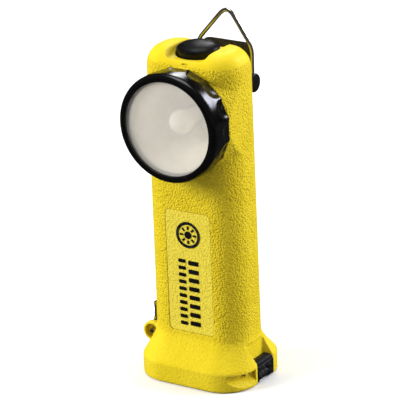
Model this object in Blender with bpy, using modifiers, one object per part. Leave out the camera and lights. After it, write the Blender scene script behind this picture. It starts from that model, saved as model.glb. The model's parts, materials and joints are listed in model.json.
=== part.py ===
"""A firefighter's right-angle flashlight, as an assembly of separate pieces.

The light stands on its flared foot. +Z is up, the lamp shines along -Y, and +X is the side with the tail
cap's hinge. The origin is the centre of the foot's underside.
"""

import math

import bmesh
import bpy
from mathutils import Vector

MM = 0.001
GAP = 0.3 * MM  # between pieces that touch or are pressed together on the real light

# Grip and foot: rounded rectangles in plan, lofted from the underside to the crown.
GRIP_WIDTH, GRIP_DEPTH, GRIP_RADIUS = 55.6 * MM, 33 * MM, 14.5 * MM
FOOT_WIDTH, FOOT_DEPTH, FOOT_RADIUS = 66.4 * MM, 54 * MM, 18.5 * MM
FOOT_BAND, FLARE_TOP = 10.4 * MM, 23 * MM  # heights of the foot's upright band and of the end of its slope
BODY_HEIGHT = 180 * MM
DRAFT = 1.2 * MM  # how much wider the grip is above the flare than at the crown
CROWN_RISE, CROWN_ROUND = 11 * MM, 9 * MM  # the crown's elliptical round: its height and how far it comes in
WALL = 3 * MM
BAY_TOP, BAY_RADIUS = 119 * MM, 11 * MM
PANEL_WIDTH, PANEL_HEIGHT, PANEL_MIDDLE = 28.6 * MM, 68 * MM, 61 * MM  # recess for the label plate
LABEL_WIDTH, LABEL_HEIGHT, LABEL_THICK = 28 * MM, 67.4 * MM, 0.3 * MM

# Lamp head: turned about an axis that points forwards. Heights along it start from the grip's middle.
HEAD_HEIGHT = 144.8 * MM
COLLAR_RADIUS, COLLAR_FACE = 27.7 * MM, 16.9 * MM
COLLAR_BACK_RADIUS, COLLAR_BACK = 36 * MM, 0 * MM  # the collar widens back to here, within the grip's width
NECK_RADIUS, NECK_BORE, NECK_END = 26.4 * MM, 24.6 * MM, 27.5 * MM
CAP_RADIUS, CAP_FRONT, CAP_REAR = 29.3 * MM, 33 * MM, 17.4 * MM
CAP_HOLLOWS, HOLLOW_DEPTH = 16, 1 * MM
LENS_RADIUS, LENS_BACK, LENS_FRONT = 26.3 * MM, 28.9 * MM, 31.3 * MM
LIP_RADIUS = 25 * MM
ROOM_BACK, ROOM_BACK_RADIUS = -12.5 * MM, 17.5 * MM  # the lamp room narrows behind the grip's middle
GROOVE_FOOT, GROOVE_TOP, GROOVE_DEPTH = 22 * MM, 23.6 * MM, 0.7 * MM  # for the neck's seal
SEAL_WIRE = 0.5 * MM
REFLECTOR_FOCUS, REFLECTOR_VERTEX, REFLECTOR_THROAT, REFLECTOR_WALL = 6.3 * MM, 4.44 * MM, 5.5 * MM, 1 * MM
LED_RADIUS, LED_TOP, LED_FOOT = 3.2 * MM, 8.2 * MM, 4.5 * MM
LED_BOARD_RADIUS, LED_BOARD_THICK, LED_BOARD_MIDDLE = 9 * MM, 1.4 * MM, 3.4 * MM
SINK_RADIUS, SINK_CORE, SINK_TOP, FIN_COUNT, FIN_THICK = 14 * MM, 9 * MM, 2.4 * MM, 3, 1.4 * MM
DRIVER_RADIUS, DRIVER_THICK, DRIVER_MIDDLE = 13 * MM, 1.2 * MM, -10.4 * MM

# Push button in the crown.
BUTTON_RADIUS, BUTTON_TOP, BUTTON_FOOT = 11.3 * MM, 182.4 * MM, 171.6 * MM
VALLEY_WIDTH, VALLEY_FLOOR, VALLEY_ROUND = 25.4 * MM, 176 * MM, 5 * MM  # runs front to back across the crown
FLANGE_RADIUS, FLANGE_TOP = 12.9 * MM, 172.6 * MM  # the boot's flange, which the crown's lip keeps in
BOOT_WALL, BOOT_SHOULDER = 2 * MM, 7.2 * MM  # the boot's dome starts this far above its foot
WELL_FOOT = 164.4 * MM
RETAINER_BORE, RETAINER_FOOT, RETAINER_TOP = 10 * MM, 167.1 * MM, 168.6 * MM
SWITCH_SIZE, SWITCH_MIDDLE = (13 * MM, 10 * MM, 7 * MM), 167.5 * MM

# Back clip and hanging ring share one pin, which runs along X.
PIN_BACK, PIN_HEIGHT = 22.4 * MM, 156 * MM
RING_LEG, RING_SHOULDER, RING_TOP, RING_WIRE = 17.6 * MM, 18.3 * MM, 38.4 * MM, 1.1 * MM
RING_LEAN = 10  # degrees back from upright, at rest
TAB_WIDTH, TAB_RISE, TAB_LEAN, TAB_THICK, TAB_CORNER = 29.8 * MM, 19.6 * MM, 4.4 * MM, 2.2 * MM, 4.5 * MM
JAW_DROP, JAW_WIDTH = 58 * MM, 17 * MM
BRACKET_BACK, BRACKET_THICK = GRIP_DEPTH / 2 + 0.5 * MM, 2 * MM
BRACKET_FOOT, BRACKET_TOP = PIN_HEIGHT - 15 * MM, PIN_HEIGHT + 8 * MM
SCREW_OUT, SCREW_RADIUS, SCREW_RISE = 12.6 * MM, 2.4 * MM, 1.4 * MM

# Tail cap: hinged on the right, held by a sprung latch on the left. Both axes run along Y.
HINGE_X, HINGE_Z = 31 * MM, 3.4 * MM
LATCH_X, LATCH_Z = -30.2 * MM, 19.25 * MM
PLATE_WIDTH, PLATE_DEPTH, PLATE_TOP, PLATE_RADIUS = 53.4 * MM, 39.4 * MM, 4.6 * MM, 7 * MM
PLATE_MIDDLE = -0.3 * MM
RECESS_WIDTH, RECESS_DEPTH, RECESS_TOP, RECESS_RADIUS = 57 * MM, 41 * MM, 5 * MM, 8 * MM
HINGE_POCKET, LATCH_POCKET = 9 * MM, 6.3 * MM  # half-widths along Y of the two pockets in the flare
EAR_RADIUS, EAR_FACE = 5.5 * MM, 9.8 * MM
LATCH_PIN_RADIUS, HINGE_PIN_RADIUS, CLIP_PIN_RADIUS = 1.4 * MM, 1.2 * MM, 1.6 * MM
PIN_SLACK = 0.05 * MM  # between a pin and the holes it passes through
KNUCKLE_RADIUS, KNUCKLE_HALF, ARM_LENGTH = 2.6 * MM, 4.2 * MM, 6 * MM
TONGUE_SIZE, TONGUE_MIDDLE = (6 * MM, 9 * MM, 1.5 * MM), 3.15 * MM
HINGE_BLOCK_TOP, HINGE_BLOCK_SHOULDER = 11.8 * MM, 8.8 * MM
LATCH_BARREL, LATCH_THICK = 2.4 * MM, 1.1 * MM
PIN_CAP_RADIUS, PIN_CAP_OUT = 5 * MM, 20.2 * MM  # round caps on the pin, outside the ring's eyes
CLIP_EAR_RADIUS, EAR_IN, EAR_OUT = 5.3 * MM, 14.2 * MM, 16.2 * MM  # the bracket's ears
SLOT_TURN, SLOT_CUTTER, SLOT_DEPTH, SLOT_Z = -20, 16 * MM, 2 * MM, 7.4 * MM  # charging pocket; degrees
SLOT_TALL = 3.8 * MM
CONTACT_RADIUS, CONTACT_LENGTH = 1.1 * MM, 10.6 * MM
CONTACT_HEAD, CONTACT_HEAD_RADIUS = 5.7 * MM, 1.6 * MM  # in the bay, this far from the corner's axis

# Battery pack: four cells, two abreast and two high.
CELL_RADIUS, CELL_LENGTH, CELL_SPACING = 11.1 * MM, 42.5 * MM, 11.4 * MM
PACK_FOOT = 13 * MM
PACK_WIDTH, PACK_DEPTH, PACK_RADIUS = 46.4 * MM, 22.6 * MM, 10 * MM
STRAP_THICK, STRAP_SPACE = 0.6 * MM, 0.8 * MM  # a strap, and the room for it at a cell's end
BLOCK_FOOT, BLOCK_THICK = 109 * MM, 4 * MM  # terminal block over the pack

AROUND_X = (0, math.radians(90), 0)  # turns a piece made along Z to lie along X
AROUND_Y = (math.radians(90), 0, 0)  # turns a piece made along Z to point forwards, along -Y


# ---------------------------------------------------------------- scene, materials, objects


def clear_scene():
    for obj in list(bpy.data.objects):
        bpy.data.objects.remove(obj)


def new_collection(name):
    collection = bpy.data.collections.new(name)
    bpy.context.scene.collection.children.link(collection)
    return collection


def make_material(name, colour, roughness, metallic=0.0):
    material = bpy.data.materials.new(name)
    material.use_nodes = True
    shader = material.node_tree.nodes["Principled BSDF"]
    shader.inputs["Base Color"].default_value = (*colour, 1.0)
    shader.inputs["Roughness"].default_value = roughness
    shader.inputs["Metallic"].default_value = metallic
    return material


def make_materials():
    return {
        "yellow": make_material("yellow_nylon", (0.90, 0.74, 0.05), 0.5),
        "black": make_material("black_nylon", (0.015, 0.015, 0.017), 0.35),
        "rubber": make_material("black_rubber", (0.03, 0.03, 0.032), 0.75),
        "clear": make_material("clear_lens", (0.95, 0.95, 0.93), 0.05),
        "mirror": make_material("mirror_reflector", (0.90, 0.88, 0.84), 0.1, 1.0),
        "steel": make_material("spring_steel", (0.60, 0.60, 0.58), 0.3, 1.0),
        "aluminium": make_material("aluminium", (0.75, 0.75, 0.76), 0.4, 1.0),
        "brass": make_material("contact_brass", (0.80, 0.62, 0.30), 0.3, 1.0),
        "board": make_material("circuit_board", (0.03, 0.20, 0.08), 0.5),
        "phosphor": make_material("led_phosphor", (0.95, 0.85, 0.35), 0.3),
        "sleeve": make_material("cell_sleeve", (0.05, 0.15, 0.45), 0.35),
        "red": make_material("red_lead", (0.60, 0.02, 0.02), 0.5),
        "foam": make_material("grey_foam", (0.20, 0.20, 0.20), 0.9),
    }


def link(obj, collection, material=None, parent=None, location=(0, 0, 0), rotation=(0, 0, 0)):
    collection.objects.link(obj)
    if material:
        obj.data.materials.append(material)
    obj.parent = parent
    obj.location = location
    obj.rotation_euler = rotation
    return obj


def frame_empty(name, location, rotation=(0, 0, 0)):
    """A placed set of axes, such as a joint's, for pieces to be parented to."""
    empty = bpy.data.objects.new(name, None)
    empty.empty_display_size = 10 * MM
    return link(empty, PARTS, location=location, rotation=rotation)


def mesh_object(name, bm, **placing):
    mesh = bpy.data.meshes.new(name)
    bm.to_mesh(mesh)
    bm.free()
    mesh.shade_smooth()
    mesh.set_sharp_from_angle(angle=math.radians(35))
    return link(bpy.data.objects.new(name, mesh), **placing)


# ---------------------------------------------------------------- shapes


def rounded_outline(width, depth, radius, steps):
    """Points of a rounded rectangle, counter-clockwise from its +X side."""
    points = []
    for corner in range(4):
        start = corner * math.pi / 2
        middle_x = (width / 2 - radius) * (1 if corner in (0, 3) else -1)
        middle_y = (depth / 2 - radius) * (1 if corner in (0, 1) else -1)
        for step in range(steps + 1):
            angle = start + step / steps * math.pi / 2
            points.append((middle_x + radius * math.cos(angle), middle_y + radius * math.sin(angle)))
    return points


def bridge(bm, lower, upper):
    count = len(lower)
    for i in range(count):
        j = (i + 1) % count
        bm.faces.new((lower[i], lower[j], upper[j], upper[i]))


def loft(name, sections, steps=7, **placing):
    """A closed solid through rounded rectangles: sections are (height, width, depth, corner radius)."""
    bm = bmesh.new()
    rings = []
    for height, width, depth, radius in sections:
        outline = rounded_outline(width, depth, radius, steps)
        rings.append([bm.verts.new((x, y, height)) for x, y in outline])
    for lower, upper in zip(rings, rings[1:]):
        bridge(bm, lower, upper)
    bm.faces.new(reversed(rings[0]))
    bm.faces.new(rings[-1])
    return mesh_object(name, bm, **placing)


def block(name, size, bevel=0.0, **placing):
    bm = bmesh.new()
    bmesh.ops.create_cube(bm, size=1.0)
    bmesh.ops.scale(bm, vec=Vector(size), verts=bm.verts)
    obj = mesh_object(name, bm, **placing)
    if bevel:
        modifier = obj.modifiers.new("edges", "BEVEL")
        modifier.width = bevel
        modifier.segments = 2
    return obj


def rod(name, radius, length, segments=20, **placing):
    bm = bmesh.new()
    bmesh.ops.create_cone(
        bm, cap_ends=True, segments=segments, radius1=radius, radius2=radius, depth=length
    )
    return mesh_object(name, bm, **placing)


def turned(name, profile, closed=False, steps=32, **placing):
    """Turns (radius, height) points about Z. The profile runs down its outer side, from top to bottom."""
    mesh = bpy.data.meshes.new(name)
    edges = [(i, i + 1) for i in range(len(profile) - 1)]
    if closed:
        edges.append((len(profile) - 1, 0))
    mesh.from_pydata([(radius, 0, height) for radius, height in profile], edges, [])
    obj = link(bpy.data.objects.new(name, mesh), **placing)
    screw = obj.modifiers.new("turn", "SCREW")
    screw.steps = steps
    screw.render_steps = steps
    screw.use_merge_vertices = True
    screw.merge_threshold = 0.00001
    return obj


def ring_profile(inner, outer, bottom, top):
    return [(outer, top), (outer, bottom), (inner, bottom), (inner, top)]


def wire(name, points, radius, closed=False, resolution=2, **placing):
    curve = bpy.data.curves.new(name, "CURVE")
    curve.dimensions = "3D"
    curve.bevel_depth = radius
    curve.bevel_resolution = resolution
    curve.use_fill_caps = not closed
    spline = curve.splines.new("POLY")
    spline.points.add(len(points) - 1)
    for point, place in zip(spline.points, points):
        point.co = (*place, 1.0)
    spline.use_cyclic_u = closed
    return link(bpy.data.objects.new(name, curve), **placing)


def coil_points(radius, bottom, top, turns, per_turn=10):
    count = round(turns * per_turn)
    points = []
    for i in range(count + 1):
        angle = 2 * math.pi * i / per_turn
        points.append(
            (radius * math.cos(angle), radius * math.sin(angle), bottom + (top - bottom) * i / count)
        )
    return points


def rounded_path(corners, radius, steps=5, closed=False):
    """A path through corner points, with each corner turned on a curve that starts radius away from it."""
    count = len(corners)
    points = []
    for i, corner in enumerate(corners):
        here = Vector(corner)
        if not closed and i in (0, count - 1):
            points.append(tuple(here))
            continue
        before = Vector(corners[i - 1])
        after = Vector(corners[(i + 1) % count])
        start = here + (before - here).normalized() * radius
        end = here + (after - here).normalized() * radius
        for step in range(steps + 1):
            t = step / steps
            points.append(tuple(start * (1 - t) ** 2 + here * 2 * t * (1 - t) + end * t**2))
    return points


def plate(name, outline, thickness, **placing):
    """A flat outline in the XY plane, given its thickness along Z, as a mesh that can be cut."""
    curve = bpy.data.curves.new(name, "CURVE")
    curve.dimensions = "2D"
    curve.fill_mode = "BOTH"
    curve.extrude = thickness / 2
    spline = curve.splines.new("POLY")
    spline.points.add(len(outline) - 1)
    for point, (x, y) in zip(spline.points, outline):
        point.co = (x, y, 0, 1)
    spline.use_cyclic_u = True
    source = bpy.data.objects.new(name + "_outline", curve)
    bpy.context.scene.collection.objects.link(source)
    graph = bpy.context.evaluated_depsgraph_get()
    bm = bmesh.new()
    bm.from_mesh(bpy.data.meshes.new_from_object(source.evaluated_get(graph)))
    bpy.data.objects.remove(source)
    bmesh.ops.remove_doubles(bm, verts=bm.verts, dist=0.01 * MM)
    bmesh.ops.recalc_face_normals(bm, faces=bm.faces)
    return mesh_object(name, bm, **placing)


def boolean(obj, operation, others, solver="EXACT"):
    for other in others:
        modifier = obj.modifiers.new(operation.lower(), "BOOLEAN")
        modifier.operation = operation
        modifier.solver = solver
        modifier.object = other
        other.hide_render = True
        other.display_type = "WIRE"
    return obj


def cut(obj, *cutters):
    return boolean(obj, "DIFFERENCE", cutters)


def join(obj, *others):
    return boolean(obj, "UNION", others)


# ---------------------------------------------------------------- body shell and label


def body_sections():
    """Outer skin: underside edge, upright band, flare, drafted grip, and an elliptical round to the crown."""
    sections = [
        (0, FOOT_WIDTH - 1.6 * MM, FOOT_DEPTH - 1.6 * MM, FOOT_RADIUS - 0.8 * MM),
        (0.9 * MM, FOOT_WIDTH, FOOT_DEPTH, FOOT_RADIUS),
        (FOOT_BAND, FOOT_WIDTH, FOOT_DEPTH, FOOT_RADIUS),
        (FOOT_BAND + 1.2 * MM, FOOT_WIDTH - 1.2 * MM, FOOT_DEPTH - 1.6 * MM, FOOT_RADIUS - 0.4 * MM),
    ]
    blend_from, blend_to = FLARE_TOP - 4 * MM, FLARE_TOP + 4 * MM
    flare = (FLARE_TOP - blend_from) / (FLARE_TOP - FOOT_BAND)  # slope left where its fillet starts
    for step in range(5):
        t = step / 4
        share = flare * (1 - t) ** 2
        sections.append(
            (
                blend_from + (blend_to - blend_from) * t,
                GRIP_WIDTH + DRAFT + (FOOT_WIDTH - GRIP_WIDTH) * share,
                GRIP_DEPTH + DRAFT + (FOOT_DEPTH - GRIP_DEPTH) * share,
                GRIP_RADIUS + DRAFT / 2 + (FOOT_RADIUS - GRIP_RADIUS) * share,
            )
        )
    for step in range(7):
        angle = step / 6 * math.pi / 2
        inset = CROWN_ROUND * (1 - math.cos(angle))
        sections.append(
            (
                BODY_HEIGHT - CROWN_RISE * (1 - math.sin(angle)),
                GRIP_WIDTH - 2 * inset,
                GRIP_DEPTH - 2 * inset,
                GRIP_RADIUS - inset,
            )
        )
    return sections


def body_cutters(head):
    """What is taken out of the shell. Each cutter runs past the face it opens."""
    helper = {"collection": CUTTERS}
    past = 1 * MM
    bay_width, bay_depth = GRIP_WIDTH - 2 * WALL, GRIP_DEPTH - 2 * WALL + 0.4 * MM
    bay = loft(
        "bay_cut",
        [(-past, bay_width, bay_depth, BAY_RADIUS), (BAY_TOP, bay_width, bay_depth, BAY_RADIUS)],
        **helper,
    )
    recess = loft(
        "recess_cut",
        [(height, RECESS_WIDTH, RECESS_DEPTH, RECESS_RADIUS) for height in (-past, RECESS_TOP)],
        steps=4,
        **helper,
    )
    mouth = NECK_END + 12.5 * MM
    room_side = [(NECK_BORE, mouth), (NECK_BORE, -past), (ROOM_BACK_RADIUS, ROOM_BACK)]
    lamp_room = turned(
        "lamp_room_cut", [(0, mouth), *room_side, (0, ROOM_BACK)], steps=48, parent=head, **helper
    )
    well = turned(
        "well_cut",
        [
            (0, BODY_HEIGHT + 2 * MM),
            (BUTTON_RADIUS + 0.5 * MM, BODY_HEIGHT + 2 * MM),
            (BUTTON_RADIUS + 0.5 * MM, FLANGE_TOP + GAP),
            (FLANGE_RADIUS + GAP, FLANGE_TOP + GAP),
            (FLANGE_RADIUS + GAP, WELL_FOOT),
            (0, WELL_FOOT),
        ],
        steps=40,
        **helper,
    )
    way_size, way_middle = (15 * MM, 8 * MM, 14 * MM), (0, 8.6 * MM, BAY_TOP + 5 * MM)
    wire_way = block("wire_way_cut", way_size, location=way_middle, **helper)
    seal_groove = turned(
        "seal_groove_cut",
        ring_profile(NECK_RADIUS - GROOVE_DEPTH, NECK_RADIUS + past, GROOVE_FOOT, GROOVE_TOP),
        closed=True,
        steps=36,
        parent=head,
        **helper,
    )
    valley_tall = 2 * (BODY_HEIGHT - VALLEY_FLOOR) + 12 * MM
    valley = loft(
        "valley_cut",
        [(end * GRIP_DEPTH, VALLEY_WIDTH, valley_tall, VALLEY_ROUND) for end in (-1, 1)],
        location=(0, 0, VALLEY_FLOOR + valley_tall / 2),
        rotation=AROUND_Y,
        **helper,
    )
    panel = loft(
        "panel_cut",
        [(height, PANEL_WIDTH, PANEL_HEIGHT, 2.5 * MM) for height in (-past, 0.7 * MM)],
        steps=3,
        location=(0, -GRIP_DEPTH / 2 - 0.55 * MM, PANEL_MIDDLE),
        rotation=(math.radians(-90), 0, 0),
        **helper,
    )
    openings = [bay, recess, lamp_room, well, valley, wire_way, seal_groove, panel]
    return openings + pocket_cutters() + slot_cutters()


def pocket_cutters():
    """The flare is cut back to the grip's side for the hinge on the right and for the latch on the left."""
    helper = {"collection": CUTTERS}
    depth, past = 12 * MM, 1 * MM
    hinge_tall, latch_tall = FLARE_TOP + 5 * MM, FLARE_TOP + 14.6 * MM
    hinge_floor, latch_floor = GRIP_WIDTH / 2 + 0.4 * MM, 0.9 * MM - GRIP_WIDTH / 2
    right = block(
        "hinge_pocket_cut",
        (depth, 2 * HINGE_POCKET, hinge_tall),
        location=(hinge_floor + depth / 2, 0, hinge_tall / 2 - past),
        **helper,
    )
    left = block(
        "latch_pocket_cut",
        (depth, 2 * LATCH_POCKET, latch_tall),
        location=(latch_floor - depth / 2, 0, latch_tall / 2 - past),
        **helper,
    )
    way = 6 * MM  # side of the two openings between the pockets and the recess
    hinge_way = block(
        "hinge_way_cut",
        (way, 2 * HINGE_POCKET, way),
        location=(hinge_floor - past, 0, RECESS_TOP - way / 2),
        **helper,
    )
    latch_way = block(
        "latch_way_cut",
        (way, 2 * LATCH_POCKET, way),
        location=(past - hinge_floor, 0, RECESS_TOP - way / 2),
        **helper,
    )
    barrel_room = rod(
        "latch_barrel_room_cut",
        LATCH_BARREL + 0.4 * MM,
        2 * LATCH_POCKET,
        20,
        location=(LATCH_X, 0, LATCH_Z),
        rotation=AROUND_Y,
        **helper,
    )
    spring_room = block(
        "latch_spring_room_cut",
        (5.2 * MM, 5.6 * MM, 10.8 * MM),
        location=(LATCH_X, 0, LATCH_Z + 2.6 * MM),
        **helper,
    )
    pin_hole = rod(
        "latch_pin_cut",
        LATCH_PIN_RADIUS + PIN_SLACK,
        3 * EAR_FACE,
        location=(LATCH_X, 0, LATCH_Z),
        rotation=AROUND_Y,
        **helper,
    )
    return [right, left, hinge_way, latch_way, barrel_room, spring_room, pin_hole]


def slot_place(along):
    """A point of the right charging pocket's line, this far out from the foot's corner axis."""
    angle = math.radians(SLOT_TURN)
    corner_x, corner_y = FOOT_WIDTH / 2 - FOOT_RADIUS, -FOOT_DEPTH / 2 + FOOT_RADIUS
    return corner_x + along * math.cos(angle), corner_y + along * math.sin(angle)


def slot_cutters():
    """A shallow pocket at each front corner of the foot, with a hole in its floor for the contact."""
    cutters = []
    x, y = slot_place(FOOT_RADIUS + SLOT_CUTTER - SLOT_DEPTH)
    hole_x, hole_y = slot_place(8 * MM)
    for side, name in ((1, "right"), (-1, "left")):
        place = (side * x, y, SLOT_Z)
        cutters.append(
            rod(f"slot_cut_{name}", SLOT_CUTTER, SLOT_TALL, 40, location=place, collection=CUTTERS)
        )
        cutters.append(
            rod(
                f"contact_hole_cut_{name}",
                CONTACT_RADIUS + 0.1 * MM,
                18 * MM,
                12,
                location=(side * hole_x, hole_y, SLOT_Z),
                rotation=(0, math.radians(90), side * math.radians(SLOT_TURN)),
                collection=CUTTERS,
            )
        )
    return cutters


def make_body_shell(mats, head):
    shell = loft("body_shell", body_sections(), steps=7, collection=PARTS, material=mats["yellow"])
    collar = turned(
        "collar_join",
        [(0, COLLAR_FACE), (COLLAR_RADIUS, COLLAR_FACE), (COLLAR_BACK_RADIUS, COLLAR_BACK), (0, COLLAR_BACK)],
        steps=56,
        collection=CUTTERS,
        parent=head,
    )
    cheeks = block(
        "cheeks_keep",
        (GRIP_WIDTH - 0.1 * MM, 60 * MM, 60 * MM),
        location=(0, 0, HEAD_HEIGHT),
        collection=CUTTERS,
    )
    boolean(collar, "INTERSECT", [cheeks])
    neck_length = 14 * MM  # from inside the collar
    neck_middle = (0, 0, NECK_END - neck_length / 2)
    neck = rod(
        "neck_join", NECK_RADIUS, neck_length, 56, collection=CUTTERS, parent=head, location=neck_middle
    )
    ears = rod(
        "ear_join",
        EAR_RADIUS,
        2 * EAR_FACE,
        26,
        collection=CUTTERS,
        location=(LATCH_X, 0, LATCH_Z),
        rotation=AROUND_Y,
    )
    boolean(shell, "UNION", [collar, neck, ears], "MANIFOLD")
    return boolean(shell, "DIFFERENCE", body_cutters(head), "MANIFOLD")


def make_label(mats):
    return loft(
        "label_plate",
        [(height, LABEL_WIDTH, LABEL_HEIGHT, 2.2 * MM) for height in (0, LABEL_THICK)],
        steps=3,
        collection=PARTS,
        material=mats["yellow"],
        location=(0, -GRIP_DEPTH / 2 - 0.25 * MM, PANEL_MIDDLE),
        rotation=(math.radians(-90), 0, 0),
    )


# ---------------------------------------------------------------- lamp head


def make_face_cap(mats, head):
    """The screwed ring that holds the lens. It is round at the front and has finger hollows at the rear."""
    bore, segments = NECK_RADIUS + 0.5 * MM, 5 * CAP_HOLLOWS
    # (radius, height, share of the hollows' depth), round the section from the front lip outwards
    section = [
        (LIP_RADIUS, CAP_FRONT - 0.5 * MM, 0),
        (LIP_RADIUS + 0.6 * MM, CAP_FRONT, 0),
        (CAP_RADIUS - 1.7 * MM, CAP_FRONT, 0),
        (CAP_RADIUS - 0.8 * MM, CAP_FRONT - 0.9 * MM, 0),
        (CAP_RADIUS - 0.5 * MM, CAP_FRONT - 5 * MM, 0.1),
        (CAP_RADIUS, CAP_FRONT - 10 * MM, 0.8),
        (CAP_RADIUS, CAP_REAR + 0.8 * MM, 1),
        (CAP_RADIUS - 0.7 * MM, CAP_REAR, 0.8),
        (bore, CAP_REAR, 0),
        (bore, LENS_FRONT + GAP, 0),
        (LIP_RADIUS, LENS_FRONT + GAP, 0),
    ]
    bm = bmesh.new()
    rings = []
    for radius, height, share in section:
        ring = []
        for i in range(segments):
            angle = 2 * math.pi * i / segments
            r = radius - share * HOLLOW_DEPTH * (1 + math.cos(CAP_HOLLOWS * angle)) / 2
            ring.append(bm.verts.new((r * math.cos(angle), r * math.sin(angle), height)))
        rings.append(ring)
    for here, following in zip(rings, rings[1:] + rings[:1]):
        bridge(bm, following, here)
    return mesh_object("face_cap", bm, collection=PARTS, material=mats["black"], parent=head)


def make_lens(mats, head):
    edge = 0.4 * MM
    profile = [
        (0, LENS_FRONT),
        (LENS_RADIUS - edge, LENS_FRONT),
        (LENS_RADIUS, LENS_FRONT - edge),
        (LENS_RADIUS, LENS_BACK),
        (0, LENS_BACK),
    ]
    return turned("lens", profile, steps=48, collection=PARTS, material=mats["clear"], parent=head)


def make_seals(mats, head):
    """The flat gasket behind the lens and the O-ring on the neck."""
    turned(
        "lens_gasket",
        ring_profile(NECK_BORE, NECK_RADIUS, NECK_END + GAP, LENS_BACK - GAP),
        closed=True,
        steps=36,
        collection=PARTS,
        material=mats["rubber"],
        parent=head,
    )
    centre, height = NECK_RADIUS - 0.1 * MM, (GROOVE_FOOT + GROOVE_TOP) / 2
    around = [i / 6 * 2 * math.pi for i in range(6)]
    turned(
        "neck_seal",
        [(centre + SEAL_WIRE * math.sin(a), height + SEAL_WIRE * math.cos(a)) for a in around],
        closed=True,
        steps=36,
        collection=PARTS,
        material=mats["rubber"],
        parent=head,
    )


def reflector_radius(height):
    """Inner radius of the parabolic bowl at a height along the lamp's axis."""
    return math.sqrt(4 * REFLECTOR_FOCUS * (height - REFLECTOR_VERTEX))


def make_reflector(mats, head):
    rim, outer = NECK_END - 0.2 * MM, NECK_BORE - GAP
    steps = 5
    heights = [rim + (REFLECTOR_THROAT - rim) * (i / steps) for i in range(steps + 1)]
    inner_side = [(min(reflector_radius(h), outer - 0.9 * MM), h) for h in reversed(heights)]
    outer_side = [(outer, rim), (outer, rim - 2 * MM)]
    outer_side += [(reflector_radius(h) + REFLECTOR_WALL, h) for h in heights[1:]]
    return turned(
        "reflector",
        outer_side + inner_side,
        closed=True,
        steps=36,
        collection=PARTS,
        material=mats["mirror"],
        parent=head,
    )


def make_lamp_parts(mats, head):
    """Light source, its board, the heat sink behind it and the driver board."""
    shared = {"collection": PARTS, "parent": head}
    dome_rise = LED_TOP - LED_FOOT - 0.5 * MM
    dome = [
        (LED_RADIUS * math.sin(angle), LED_FOOT + 0.5 * MM + dome_rise * math.cos(angle))
        for angle in (step / 4 * math.pi / 2 for step in range(5))
    ]
    dome += [(LED_RADIUS, LED_FOOT), (0, LED_FOOT)]
    turned("led_dome", dome, steps=20, material=mats["phosphor"], **shared)
    rod(
        "led_board",
        LED_BOARD_RADIUS,
        LED_BOARD_THICK,
        28,
        material=mats["board"],
        location=(0, 0, LED_BOARD_MIDDLE),
        **shared,
    )
    sink = [(0, SINK_TOP), (SINK_RADIUS, SINK_TOP), (SINK_RADIUS, 0)]
    for fin in range(FIN_COUNT):
        top = -FIN_THICK * (1 + 2 * fin)
        sink += [(SINK_CORE, top + FIN_THICK), (SINK_CORE, top)]
        sink += [(SINK_RADIUS, top), (SINK_RADIUS, top - FIN_THICK)]
    sink.append((0, sink[-1][1]))
    turned("heat_sink", sink, steps=24, material=mats["aluminium"], **shared)
    rod(
        "driver_board",
        DRIVER_RADIUS,
        DRIVER_THICK,
        28,
        material=mats["board"],
        location=(0, 0, DRIVER_MIDDLE),
        **shared,
    )


# ---------------------------------------------------------------- push button


def make_button(mats):
    """Rubber boot with a domed top and a flange at its foot, hollow from below, and the plunger inside it."""
    slide = frame_empty("button_slide", (0, 0, BUTTON_FOOT))
    shared = {"collection": PARTS, "parent": slide}
    tall = BUTTON_TOP - BUTTON_FOOT
    flange = FLANGE_TOP - BUTTON_FOOT
    outer = [(0, tall)]
    for step in range(1, 6):
        angle = step / 5 * math.pi / 2
        height = BOOT_SHOULDER + (tall - BOOT_SHOULDER) * math.cos(angle)
        outer.append((BUTTON_RADIUS * math.sin(angle), height))
    foot = [(BUTTON_RADIUS, flange), (FLANGE_RADIUS, flange), (FLANGE_RADIUS, 0)]
    bore = BUTTON_RADIUS - BOOT_WALL
    inner = [(bore, 0), (bore, BOOT_SHOULDER - 1 * MM), (0, tall - BOOT_WALL)]
    turned("switch_boot", outer + foot + inner, steps=32, material=mats["rubber"], **shared)
    stem, stem_foot = 1.8 * MM, 2.6 * MM
    button, button_top, button_edge, button_under = 4.5 * MM, 8 * MM, 6.8 * MM, 6 * MM
    profile = [(0, button_top), (button, button_edge), (button, button_under)]
    profile += [(stem, button_under), (stem, stem_foot), (0, stem_foot)]
    turned("switch_plunger", profile, steps=20, material=mats["black"], **shared)


def make_switch(mats):
    """The ring screwed in under the boot's flange, the return spring, and the switch it sits on."""
    turned(
        "switch_retainer",
        ring_profile(RETAINER_BORE, FLANGE_RADIUS, RETAINER_FOOT, RETAINER_TOP),
        closed=True,
        steps=32,
        collection=PARTS,
        material=mats["black"],
    )
    wire(
        "switch_spring",
        coil_points(2.9 * MM, 171.7 * MM, 176.8 * MM, 3.4),
        0.4 * MM,
        resolution=1,
        collection=PARTS,
        material=mats["steel"],
    )
    block(
        "switch_body",
        SWITCH_SIZE,
        0.5 * MM,
        collection=PARTS,
        material=mats["black"],
        location=(0, 0, SWITCH_MIDDLE),
    )


# ---------------------------------------------------------------- battery pack, contacts, wires


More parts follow.
